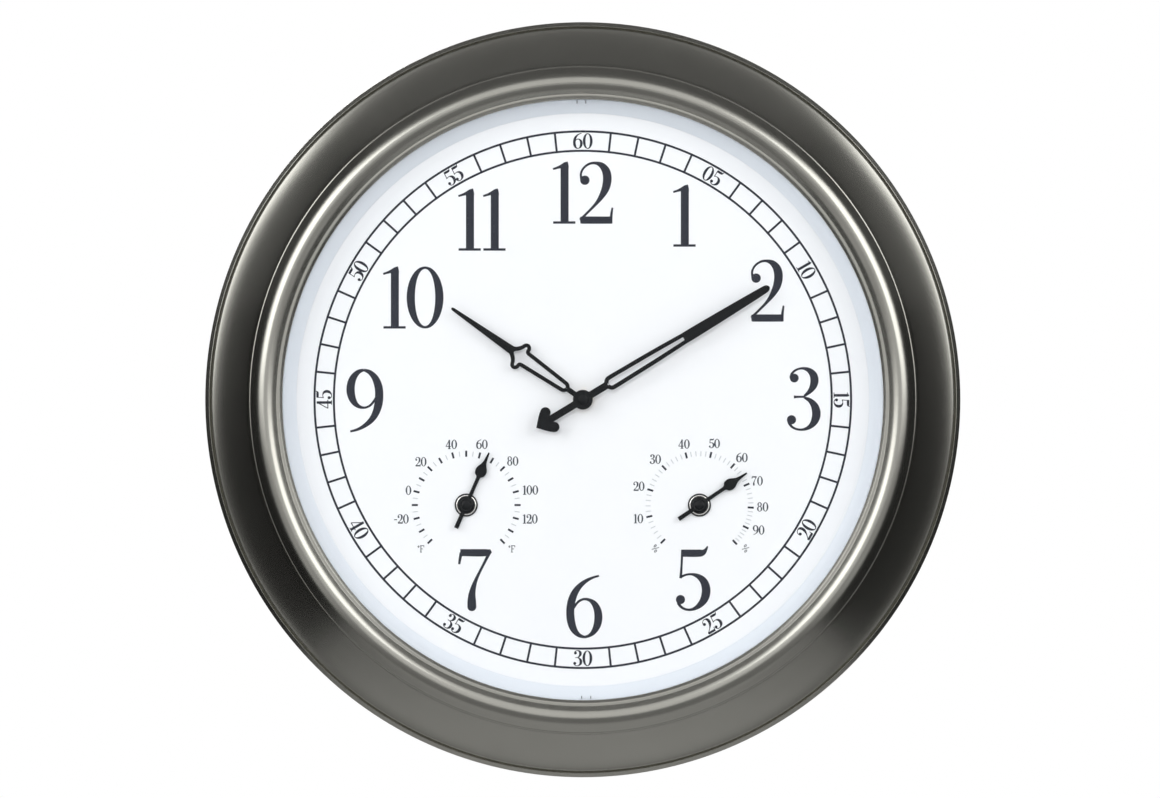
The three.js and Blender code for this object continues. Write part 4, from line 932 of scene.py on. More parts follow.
class CLOCK_OT_hour_numerals(bpy.types.Operator):
    """Upright hour numerals with hairlines, swelling strokes and round ends"""

    bl_idname = "clock.hour_numerals"
    bl_label = "Hour numerals"

    def execute(self, context):
        sizes = context.scene.clock_sizes
        parts = [
            lettering(text, sizes.hour_numeral_height * MM, (x, foot), 0, ink_depths(sizes),
                      gap=HOUR_GAP_TEN if text == "10" else HOUR_GAP, baseline=True)
            for text, x, foot in HOUR_NUMERALS
        ]
        piece("hour_numerals", together(*parts), printing_ink, "case")
        return {"FINISHED"}


# Scales of the gauges: numbers with their places from the middle of the gauge, [x, z]
THERMOMETER_NUMBERS = [
    ("-20", -39.2, -8.4), ("0", -34.9, 8.9), ("20", -27.4, 26.2), ("40", -9.0, 36.7),
    ("60", 9.5, 36.7), ("80", 28.1, 26.6), ("100", 38.9, 9.1), ("120", 38.7, -8.4),
]
HYGROMETER_NUMBERS = [
    ("10", -36.8, -8.2), ("20", -36.6, 11.4), ("30", -26.6, 27.7), ("40", -9.3, 36.9),
    ("50", 9.1, 37.2), ("60", 25.7, 28.7), ("70", 35.0, 14.6), ("80", 38.2, -1.1),
    ("90", 35.8, -15.1),
]
THERMOMETER_ANGLES = np.arange(-135, 136, 15)
HYGROMETER_ANGLES = np.array(
    [-134.7, -102.9, -73, -43.4, -14.9, 12.7, 40.4, 66.7, 92.8, 115.6, 136.4])

# Radii of the marks, half widths of major and minor ones, how much shorter a minor one is at each
# end, and the height of the unit as a share of a number's
SCALE_INNER, SCALE_OUTER = 29.2, 32.9
MAJOR_HALF, MINOR_HALF = 0.6, 0.3
MINOR_SHORTER = 0.3
UNIT_SHARE = 0.74


def add_scale(sizes, name, angles, numbers, minor_count, unit, unit_places, unit_turn):
    """One gauge's marks, its numbers with their unit, and its minor marks, as three pieces. The
    minor marks share out the angle between each two marks evenly."""
    depths, centre = ink_depths(sizes), middle(f"{name}_collar")
    marks = [radial_mark(centre, SCALE_INNER, SCALE_OUTER, angle, MAJOR_HALF, depths)
             for angle in angles]
    piece(f"{name}_scale", together(*marks), printing_ink, "case")
    height, least = sizes.scale_numeral_height * MM, sizes.hairline * MM / 2
    signs = [lettering(text, height, centre + np.array([x, z]), 0, depths, least=least,
                       weight=sizes.small_weight) for text, x, z in numbers]
    signs += [lettering(unit, height * UNIT_SHARE, centre + np.array(place), unit_turn, depths,
                        least=least) for place in unit_places]
    piece(f"{name}_numbers", together(*signs), fine_printing_ink, "case")
    shares = np.arange(1, minor_count + 1) / (minor_count + 1)
    minor = (angles[:-1, None] + np.diff(angles)[:, None] * shares).ravel()
    pale = [radial_mark(centre, SCALE_INNER + MINOR_SHORTER, SCALE_OUTER - MINOR_SHORTER, angle,
                        MINOR_HALF, depths) for angle in minor]
    piece(f"{name}_minor_marks", together(*pale), pale_printing_ink, "case")


class CLOCK_OT_scales(bpy.types.Operator):
    """Scales of the thermometer and the hygrometer"""

    bl_idname = "clock.scales"
    bl_label = "Scales"

    def execute(self, context):
        sizes = context.scene.clock_sizes
        add_scale(sizes, "thermometer", THERMOMETER_ANGLES, THERMOMETER_NUMBERS, 1, "F",
                  [(-27.0, -26.5), (28.0, -26.5)], 0)
        add_scale(sizes, "hygrometer", HYGROMETER_ANGLES, HYGROMETER_NUMBERS, 4, "%",
                  [(-26.6, -26.2), (27.9, -26.2)], 45)
        return {"FINISHED"}


# Hands: strokes of [along, aside, half width] in millimetres from the axis, for one side

HOUR_RAIL = [(11.6, 0.3, 1.1), (12.1, 1.3, 1.18), (12.9, 2.05, 1.18), (14.2, 2.35, 1.18),
             (40.6, 3.9, 1.18), (42.6, 4.05, 1.18), (43.6, 4.4, 1.15), (43.95, 5.3, 1.12),
             (43.95, 6.2, 1.12), (44.6, 7.3, 1.12), (45.8, 7.8, 1.12), (47.0, 7.3, 1.12),
             (47.6, 6.2, 1.12), (48.0, 5.2, 1.15), (49.2, 3.5, 1.25), (50.6, 2.2, 1.3),
             (52.2, 1.2, 1.4), (53.5, 0.6, 1.3)]
HOUR_NEEDLE = [(50.6, 0, 0.6), (51.3, 0, 1.8), (52.6, 0, 2.55), (55.0, 0, 2.5), (94.8, 0, 1.0),
               (96.2, 0, 0.8), (96.8, 0, 0.3)]
HOUR_NECK = [(-3.0, 0, 1.6), (11.9, 0, 1.6)]
MINUTE_RAIL = [(17.2, 0.9, 1.3), (17.9, 2.0, 1.3), (18.9, 2.9, 1.3), (20.2, 3.2, 1.3),
               (30.3, 3.1, 1.28), (50.4, 2.8, 1.28), (72.0, 2.15, 1.2)]
MINUTE_BLADE = [(71.3, 0, 1.9), (71.7, 0, 3.0), (72.6, 0, 3.4), (90.8, 0, 3.2), (111.0, 0, 2.8),
                (127.8, 0, 2.3), (130.4, 0, 1.9), (131.4, 0, 1.0), (131.8, 0, 0.4)]
MINUTE_NECK = [(-24.0, 0, 2.2), (17.6, 0, 2.2)]
MINUTE_HEART = [(-32.8, 0, 0.1), (-25.6, 0, 7.3), (-23.2, 0, 6.5), (-22.0, 0, 3.9)]
HEART_LOBE = (-23.3, 5.15, 3.15)
POINTER_BLADE = [(-15.2, 0, 1.3), (4.0, 0, 1.2), (17.6, 0, 1.15), (18.8, 0, 1.6), (19.9, 0, 2.9),
                 (22.2, 0, 3.45), (24.2, 0, 3.05), (26.2, 0, 1.9), (28.4, 0, 1.1), (34.6, 0, 0.45)]

# Steps between two points of a stroke, radii of the hub and of the bores, and how much lower each
# part's face lies than the last one's
HAND_STEPS = 5
HUB_RADIUS = 6.0
HOUR_BORE, MINUTE_BORE = 3.0, 1.8
LAYER = 0.012


def hand_plate(sides_strokes, lobes, depths, bevel, bore):
    """Stamped hand: strokes with bevelled edges, some on both sides, round lobes and a hub.

    Each part lies a layer lower than the one before, so that no two faces share a plane.
    """
    rear, front = depths
    parts, drop = [], 0.0
    for points, both in sides_strokes:
        path = spline(points, HAND_STEPS)[:, [1, 0, 2]]
        for side in ((-1, 1) if both else (1,)):
            parts.append(stroke(path * [side, 1, 1], rear, front - drop, bevel))
            drop += LAYER
    for along, aside, radius in lobes:
        for side in (-1, 1):
            parts.append(disc(radius, rear, front - drop, (side * aside, along), 32, bevel))
            drop += LAYER
    hub = softened(ring_section(bore, HUB_RADIUS, rear, front + LAYER), 0.3)
    return together(*parts, turned(hub, 64))


def cap_profile(rear, front):
    """Domed cap with a blind bore for the arbor: the dome is a quarter of an ellipse."""
    radius, skirt = 3.0, 0.9
    return np.concatenate([
        [(0, rear + 0.7), (MINUTE_BORE, rear + 0.7), (MINUTE_BORE, rear), (2.9, rear),
         (radius, rear + 0.1)],
        arc_points((0, rear + skirt), (radius, front - rear - skirt), 0, 90, 10)])


class CLOCK_OT_hands(bpy.types.Operator):
    """Hour and minute hand with the cap over their hub"""

    bl_idname = "clock.hands"
    bl_label = "Hands"

    def execute(self, context):
        sizes = context.scene.clock_sizes
        bevel, axis = sizes.hand_bevel * MM, np.zeros(2)
        hour = hand_plate([(HOUR_RAIL, True), (HOUR_NEEDLE, False), (HOUR_NECK, False)], [],
                          rear_and_front("hour_hand"), bevel, HOUR_BORE)
        piece("hour_hand_plate", moved(hour, resting_angle("hour_hand", axis), axis),
              hand_enamel, "hour_train", ["hour_hand"])
        minute = hand_plate([(MINUTE_RAIL, True), (MINUTE_BLADE, False), (MINUTE_NECK, False),
                             (MINUTE_HEART, False)], [HEART_LOBE],
                            rear_and_front("minute_hand"), bevel, MINUTE_BORE)
        piece("minute_hand_plate", moved(minute, resting_angle("minute_hand", axis), axis),
              hand_enamel, "minute_train", ["minute_hand"])
        piece("hand_cap_button", turned(cap_profile(*rear_and_front("hand_cap")), 48),
              hand_enamel, "minute_train", ["hand_cap"])
        return {"FINISHED"}


POINTER_THICKNESS = 0.8


def knob_profile(rear, front):
    """Hub of a pointer with a blind bore, a rolled edge and a raised middle, which is part of an
    ellipse."""
    return np.concatenate([
        [(0, front - 0.9), (1.2, front - 0.9), (1.2, rear), (4.3, rear), (4.6, rear + 0.3),
         (4.6, front - 0.1), (4.3, front + 0.15), (3.6, front + 0.25), (3.3, front + 0.1),
         (2.9, front + 0.1), (2.6, front + 0.3)],
        arc_points((0, front + 0.3), (2.4, 0.5), 10, 90, 8)])


def collar_profiles(rear, front):
    """A collar's bright ring, half an ellipse over a thin foot, and a dark seat of painted shade
    around it.
    """
    foot = rear + 0.1
    ring = np.concatenate([
        [(5.0, rear), (6.85, rear), (6.85, foot), (6.14, foot)],
        arc_points((5.62, front - 0.5), (0.52, 0.5), 0, 180, 8)])
    # The seat's black, between the beads and out to the rim, is painted shade: it stands for the
    # shadow gaps around the ring
    seat = softened([(6.05, foot), (7.0, foot), (7.0, front - 0.45), (6.05, front - 0.36)], 0.05)
    return ring, seat


class CLOCK_OT_pointers(bpy.types.Operator):
    """Pointers of the gauges with their hubs, and the bright collars around them"""

    bl_idname = "clock.pointers"
    bl_label = "Pointers"

    def execute(self, context):
        sizes = context.scene.clock_sizes
        for name in ("thermometer", "hygrometer"):
            centre = middle(f"{name}_collar")
            rear, front = rear_and_front(f"{name}_pointer")
            blade = stroke(spline(POINTER_BLADE, HAND_STEPS)[:, [1, 0, 2]],
                           front - POINTER_THICKNESS, front, sizes.hand_bevel * MM)
            knob = turned(knob_profile(rear, front), 48)
            part = moved(together(blade, knob), resting_angle(f"{name}_pointer", centre), centre)
            piece(f"{name}_pointer_blade", part, hand_enamel, f"{name}_needle",
                  [f"{name}_pointer"])
            collar, seat = collar_profiles(*rear_and_front(f"{name}_collar"))
            piece(f"{name}_collar_ring", turned(collar, 72, centre), polished_nickel, "case",
                  [f"{name}_collar"])
            # Dark seat: painted shade of the gaps around the collar's bright ring
            piece(f"{name}_collar_shade_ring", turned(seat, 72, centre), moulded_rubber, "case")
        return {"FINISHED"}


# Rear cover

# Depths of its back, of its ribs' tops and of its front, and the ribs' radii and half widths
COVER_BACK, RIB_TOP, COVER_FRONT = 2.0, 1.2, 4.6
RIB_RADII = (100.0, 148.0, 190.0)
RIB_HALF_FOOT, RIB_HALF_TOP = 1.6, 1.1

# Band at the rim, whose rear lies on the wall: its width and the depth of its front
BAND_WIDTH, BAND_FRONT = 8.0, 5.6

# Openings: depths that every cutter spans, the window across and up with its lip, the vents behind
# each gauge, and the holes around the screws
THROUGH = (-1.0, 7.0)
WINDOW = ((-33, 33), (-33, 39))
LIP_WALL, LIP_DEPTHS = 1.6, (3.3, 8.6)
VENT_COUNT, VENT_PITCH, VENT_HALF_HEIGHT, VENT_HALF_LENGTH = 5, 7.0, 1.5, 12.0
SCREW_HOLE_RADIUS = 1.9

# Keyhole: its round part, its slot as [x, z, half width], and the walls and the bottom of the pocket
# that takes the screw's head
KEYHOLE_PLACE, KEYHOLE_RADIUS = (0, 160), 5.0
KEYHOLE_SLOT = [(0, 158, 2.5), (0, 169.5, 2.5), (0, 171.0, 2.0), (0, 171.9, 0.9)]
POCKET_WALLS = ((-6.5, 6.5), (153.5, 178.5), 1.5, (3.3, 11.1))
POCKET_BOTTOM = ((-7.9, 7.9), (152.1, 179.9), (9.6, 11.05))


def cover_section(radius):
    """Section of the rear cover: a thin plate with ribs, and a thicker band at the rim."""
    ribs = [place for rib in RIB_RADII for place in (
        (rib - RIB_HALF_FOOT, COVER_BACK), (rib - RIB_HALF_TOP, RIB_TOP),
        (rib + RIB_HALF_TOP, RIB_TOP), (rib + RIB_HALF_FOOT, COVER_BACK))]
    inner = radius - BAND_WIDTH
    return softened([(0, COVER_BACK)] + ribs + [
        (inner, COVER_BACK), (inner, 0), (radius, 0), (radius, BAND_FRONT), (inner, BAND_FRONT),
        (inner, COVER_FRONT), (0, COVER_FRONT)], 0.35, loop=False)


def round_slot(x, z, half_length, half_height):
    """Slot with round ends as a path of [x, z, half width]: towards each end the half width falls
    as that of a circle."""
    share = np.linspace(-0.98, 0, 6)
    beyond, half = share * half_height, np.sqrt(1 - share ** 2) * half_height
    straight, level = half_length - half_height, np.full(len(share), z)
    return np.concatenate([
        np.stack([x - straight + beyond, level, half], -1),
        np.stack([x + straight - beyond[::-1], level, half[::-1]], -1)])


def carved(made, cutters):
    """Takes cutters out of a piece with an exact Boolean, and keeps the result as its mesh."""
    tool = linked("cutters", mesh_of("cutters", together(*cutters)))
    modifier = made.modifiers.new("cut", "BOOLEAN")
    modifier.operation, modifier.solver, modifier.object = "DIFFERENCE", "EXACT", tool
    graph = bpy.context.evaluated_depsgraph_get()
    result = bpy.data.meshes.new_from_object(made.evaluated_get(graph))
    made.modifiers.clear()
    made.data = result
    bpy.data.objects.remove(tool)
    shade(result)


def box_shell(x, z, depths):
    """Rectangular block between two places on each axis, as a bar along x."""
    level, half = (z[0] + z[1]) / 2, (z[1] - z[0]) / 2
    return stroke([(end, level, half) for end in x], *depths)


def frame_shell(x, z, wall, depths):
    """Rectangular frame: a loop of straight bars with mitred corners, made as a grid of an inner
    and an outer rectangle at two depths."""
    (left, right), (low, high) = x, z
    inner = np.array([(left, low), (right, low), (right, high), (left, high)], float)
    outer = inner + wall * np.sign(inner - inner.mean(0))
    plan = np.stack([inner, outer, outer, inner], 1)
    depth = np.broadcast_to([depths[0], depths[0], depths[1], depths[1]], plan.shape[:2])
    points = np.stack([plan[..., 0], depth, plan[..., 1]], -1)
    return shell(points, grid(4, 4, ring=True, loop=True))


class CLOCK_OT_rear_cover(bpy.types.Operator):
    """Rear cover with its ribs, vents, window for the movement and keyhole"""

    bl_idname = "clock.rear_cover"
    bl_label = "Rear cover"

    def execute(self, context):
        section = cover_section(reach("rear_cover"))
        cover = piece("rear_cover_plate", turned(section, context.scene.clock_sizes.round_sides),
                      black_moulding, "case", ["rear_cover"])
        cutters = [box_shell(*WINDOW, THROUGH)]
        for name in ("thermometer", "hygrometer"):
            x, z = middle(f"{name}_cup")
            for row in range(VENT_COUNT):
                level = z + (row - (VENT_COUNT - 1) / 2) * VENT_PITCH
                vent = round_slot(x, level, VENT_HALF_LENGTH, VENT_HALF_HEIGHT)
                cutters.append(stroke(vent, *THROUGH))
        cutters += [disc(SCREW_HOLE_RADIUS, *THROUGH, middle(screw), 24) for screw in COVER_SCREWS]
        cutters.append(disc(KEYHOLE_RADIUS, *THROUGH, KEYHOLE_PLACE, 40))
        carved(cover, cutters)
        carved(cover, [stroke(KEYHOLE_SLOT, *THROUGH)])
        walls = together(frame_shell(*WINDOW, LIP_WALL, LIP_DEPTHS), frame_shell(*POCKET_WALLS),
                         box_shell(*POCKET_BOTTOM))
        piece("rear_cover_walls", walls, black_moulding, "case")
        dress(["cover_seal"], moulded_rubber)
        return {"FINISHED"}


# Screws

def pan_head(radius, height, seat, centre, length, shank):
    """Screw from behind: a domed head with a cross recess, and a threaded shank.

    The head's height over a polar grid of shares r of its radius is a dome, 1 - 0.55 r^4, less a
    recess of 0.62 in the cross, whose arms are 0.17 wide to each side and 0.62 long. The shank's
    radius steps in and out with the thread.
    """
    rows, sides = 30, 96
    share = np.linspace(0, 1, rows)[:, None]
    angle = np.linspace(0, 2 * np.pi, sides, endpoint=False)[None, :]
    x, z = share * np.sin(angle), share * np.cos(angle)
    dome = height * (1 - 0.55 * share ** 4) * np.ones_like(x)
    arm = np.minimum(
        np.maximum(np.abs(x) / 0.17, np.abs(z) / 0.62),
        np.maximum(np.abs(z) / 0.17, np.abs(x) / 0.62))
    recess = 0.62 * height * np.clip((1.12 - arm) / 0.24, 0, 1)
    top = np.stack([x * radius + centre[0], seat - dome + recess, z * radius + centre[1]], -1)
    turns = np.arange(0.6, length - 1.2, 0.3)
    thread = [(shank * (0.88 + 0.12 * (i % 2)), seat + t) for i, t in enumerate(turns)]
    profile = [(radius, seat - 0.05), (shank, seat), *thread,
               (0.3, seat + length), (0, seat + length)]
    depth, aside, up, _ = revolved(profile, sides)
    body = np.stack([aside + centre[0], depth, up + centre[1]], -1)
    points = np.concatenate([top, body]).reshape(-1, 3)
    return shell(points, grid(rows + len(profile), sides, ring=True))


# Each kind of screw: how many there are, the radius and the height of the head, the radius of the
# shank, and how much shorter the shank is than the CAD's
SCREWS = {
    "cover_screw": (6, 3.4, 1.3, 1.5, 0), "ring_screw": (3, 2.8, 1.4, 1.3, 0),
    "dial_screw": (3, 2.8, 1.4, 1.1, 1.7), "case_screw": (2, 2.4, 1.3, 1.1, 0),
}


class CLOCK_OT_screws(bpy.types.Operator):
    """Screws of the rear cover, the dial, its ring and the movement"""

    bl_idname = "clock.screws"
    bl_label = "Screws"

    def execute(self, context):
        for kind, (count, radius, height, shank, shorter) in SCREWS.items():
            for i in range(1, count + 1):
                name = f"{kind}_{i}"
                rear, front = rear_and_front(name)
                seat = rear + height
                part = pan_head(radius, height, seat, middle(name), front - shorter - seat, shank)
                piece(f"{name}_body", part, zinc_plated_steel, "case", [name])
        return {"FINISHED"}


# Movement

BUTTONS = {"set_button": "set_key", "zone_button": "zone_key", "wave_button": "wave_key"}

# Spring of the cell: radii at its foot and its tip, turns, and the radius of its wire
SPRING_FOOT, SPRING_TIP, SPRING_TURNS, SPRING_WIRE = 5.0, 1.6, 3.6, 0.33

# Windings: the radius inside them and the thickness of the wire, drawn coarser than it is so that
# it shows
ANTENNA_BORE, ANTENNA_WIRE = 3.8, 0.55
MOTOR_BORE, MOTOR_WIRE = 1.95, 0.5

# Strips of the gauges: turns, radius at the arbor, growth of the radius and half thickness
STRIP_TURNS, STRIP_INNER, STRIP_GROWTH, STRIP_HALF = 3, 1.5, 13.6, 0.18


def button_profile(rear, front):
    """Push button with a slightly dished face, a flange and a foot."""
    body = softened([(0, rear), (2.2, rear), (2.2, rear + 2.9), (3.0, rear + 2.9),
                     (3.0, rear + 3.7), (2.2, rear + 3.7), (2.2, front), (0, front)],
                    0.2, loop=False)
    return np.concatenate([[(0, rear + 0.22)], body[1:]])


def cell_profile(low, high, radius):
    """AA cell that lies along x, as [radius, x]: a recessed end, round shoulders and the contact."""
    shoulder, rounding = high - 1.0, 0.6
    return np.concatenate([
        [(0, low + 0.15), (4.4, low + 0.15), (4.9, low)],
        arc_points((radius - rounding, low + rounding), (rounding, rounding), -90, 0, 5),
        arc_points((radius - rounding, shoulder - rounding), (rounding, rounding), 0, 90, 5),
        [(5.0, shoulder - 0.05), (4.6, shoulder - 0.35), (3.4, shoulder - 0.35),
         (3.0, shoulder - 0.1)],
        arc_points((2.3, high - 0.45), (0.45, 0.45), 0, 90, 4),
        [(0, high)],
    ])


def wound(inner, outer, low, high, wire):
    """Section of a winding: its outside rises and falls by |sin|, once for each turn of wire."""
    turns = int((high - low) / wire)
    along = np.linspace(low, high, turns * 4 + 1)
    radius = outer - wire / 2 + wire / 2 * np.abs(np.sin(np.pi * (along - low) / wire))
    return np.concatenate([[(inner, low)], np.stack([radius, along], -1), [(inner, high)]])


class CLOCK_OT_movement(bpy.types.Operator):
    """Cell, spring, windings, strips and buttons, and the finish of the inner parts"""

    bl_idname = "clock.movement"
    bl_label = "Movement"

    def execute(self, context):
        low, high = box_of("battery")
        _, depth, height = (low + high) / 2
        cell = cell_profile(low[0], high[0], (high[1] - low[1]) / 2)
        piece("battery_cell", laid(cell, 64, height, depth), cell_jacket, "case",
              ["battery"])
        self.make_spring(depth, height, low[0])
        self.make_windings()
        self.make_strips()
        for name, body in BUTTONS.items():
            part = turned(button_profile(*rear_and_front(name)), 40, middle(name))
            piece(f"{name}_cap", part, grey_moulding, body, [name])
        self.dress_inside()
        return {"FINISHED"}

    def make_spring(self, depth, height, cell_end):
        """Conical spring: its radius shrinks evenly, and it climbs evenly between its flat ends,
        each 12% of its length."""
        start = box_of("contact_negative")[0][0] + 0.35
        share = np.linspace(0, 1, 145)
        angle = 2 * np.pi * SPRING_TURNS * share
        radius = SPRING_FOOT + (SPRING_TIP - SPRING_FOOT) * share
        climb = np.clip((share - 0.12) / 0.76, 0, 1)
        path = np.stack([
            start + (cell_end - 0.55 - start) * climb,
            depth + radius * np.sin(angle), height + radius * np.cos(angle)], -1)
        piece("contact_negative_spring", tube(path, SPRING_WIRE), zinc_plated_steel, "case",
              ["contact_negative"])

    def make_windings(self):
        """Windings of the antenna, which lies along x, and of the motor, which stands upright."""
        low, high = box_of("antenna_coil")
        _, depth, height = (low + high) / 2
        section = wound(ANTENNA_BORE, (high[1] - low[1]) / 2, low[0], high[0], ANTENNA_WIRE)
        piece("antenna_coil_winding", laid(section, 40, height, depth), enamelled_copper, "case",
              ["antenna_coil"])
        low, high = box_of("motor_coil")
        across, depth, _ = (low + high) / 2
        section = wound(MOTOR_BORE, (high[0] - low[0]) / 2, low[2], high[2], MOTOR_WIRE)
        points, faces = laid(section, 40, 0, 0)
        x, y, z = points.T
        upright = np.stack([z + across, y - depth, x], -1)
        piece("motor_coil_winding", (upright, faces[:, ::-1]), enamelled_copper, "case",
              ["motor_coil"])

    def make_strips(self):
        """Wound strips of the gauges: the radius grows evenly with the angle."""
        share = np.linspace(0, 1, 181)
        angle, radius = 2 * np.pi * STRIP_TURNS * share, STRIP_INNER + STRIP_GROWTH * share
        coil = np.stack([radius * np.sin(angle), radius * np.cos(angle),
                         np.full_like(share, STRIP_HALF)], -1)
        for name, make, slot in (("thermometer", turned_brass, "brass_parts"),
                                 ("hygrometer", enamelled_copper, "copper_windings")):
            path = coil + [*middle(f"{name}_cup"), 0]
            piece(f"{name}_strip_coil", stroke(path, *rear_and_front(f"{name}_strip")), make,
                  "case", [f"{name}_strip"])

    def dress_inside(self):
        """Finishes of the CAD nodes that stay in view."""
        dress(["movement_base", "movement_cover", "control_chip", "thermometer_cup",
               "hygrometer_cup"], black_moulding)
        dress(["train_bridge"], grey_moulding)
        dress(["first_wheel", "second_wheel", "reverse_wheel", "hour_wheel"], gear_acetal)
        dress(["rotor", "antenna_rod"], sintered_ferrite)
        dress(["centre_wheel", "front_washer", "mounting_nut"], turned_brass)
        dress(["rear_washer"], moulded_rubber)
        dress(["circuit_board"], solder_resist)
        dress(["quartz_crystal", "motor_stator", "coil_core", "contact_positive",
               "thermometer_arbor", "hygrometer_arbor"], zinc_plated_steel)


# Stage

FLOOR_DROP = 1000.0
FLOOR_RADIUS = 12000.0
FLOOR_THICKNESS = 10.0

# Cards beside the clock: how far they stand to the side and reach behind it, and their front edges
# as y and height. They lean forwards to the floor, so that the metal's bright flank narrows downwards.
CARD_DISTANCE = 1000.0
CARD_FAR = 1500.0
CARD_THICKNESS = 1
CARD_LOWER_FRONTS = [(-430, -960), (-430, -570), (-352, -270), (-318, 0), (-300, 200), (-300, 300)]
CARD_UPPER_FRONTS = [(-300, 300), (-300, 400), (-330, 570), (-330, 1100)]

# Card above the clock: y of its front edge and its height. Card over the floor in front of the
# clock: its sides, its far and near edges, and how far it lies above the floor.
CARD_TOP_FRONT, CARD_TOP_HEIGHT = -560, 1100
CARD_FLOOR_SIDES, CARD_FLOOR_FAR, CARD_FLOOR_NEAR, CARD_FLOOR_LIFT = (-1200, 1200), -320, -2400, 15

# Depth of the clock that shows at the photograph's scale, and the width of the camera's sensor
CAMERA_DEPTH = 26.0
SENSOR = 36.0

# Each lamp: name, place in metres, side in metres, radiance, and whether metal mirrors it
LAMPS = [
    ("lamp_left", (-1.9, -1.72, 1.0), 1.9, 2.4, True),
    ("lamp_right", (1.9, -1.72, 1.0), 1.9, 2.2, True),
    ("lamp_front", (-0.6, -6.0, 1.2), 1.2, 25.5, False),
    ("lamp_rear", (-1.2, 2.4, 1.4), 1.2, 8.0, True),
]


def card(sides, far, fronts):
    """Upright block between two sides, x, and a far plane, y. Its front edge runs through the
    places [y, z] of a list, from the lowest to the highest."""
    left, right = sides
    corners = [(x, y, z) for near, z in fronts
               for x, y in ((left, near), (right, near), (right, far), (left, far))]
    last = len(corners) - 4
    ends = np.array([[0, 1, 2], [0, 2, 3], [last, last + 2, last + 1], [last, last + 3, last + 2]])
    return np.array(corners, float), np.concatenate([grid(len(fronts), 4, ring=True), ends])


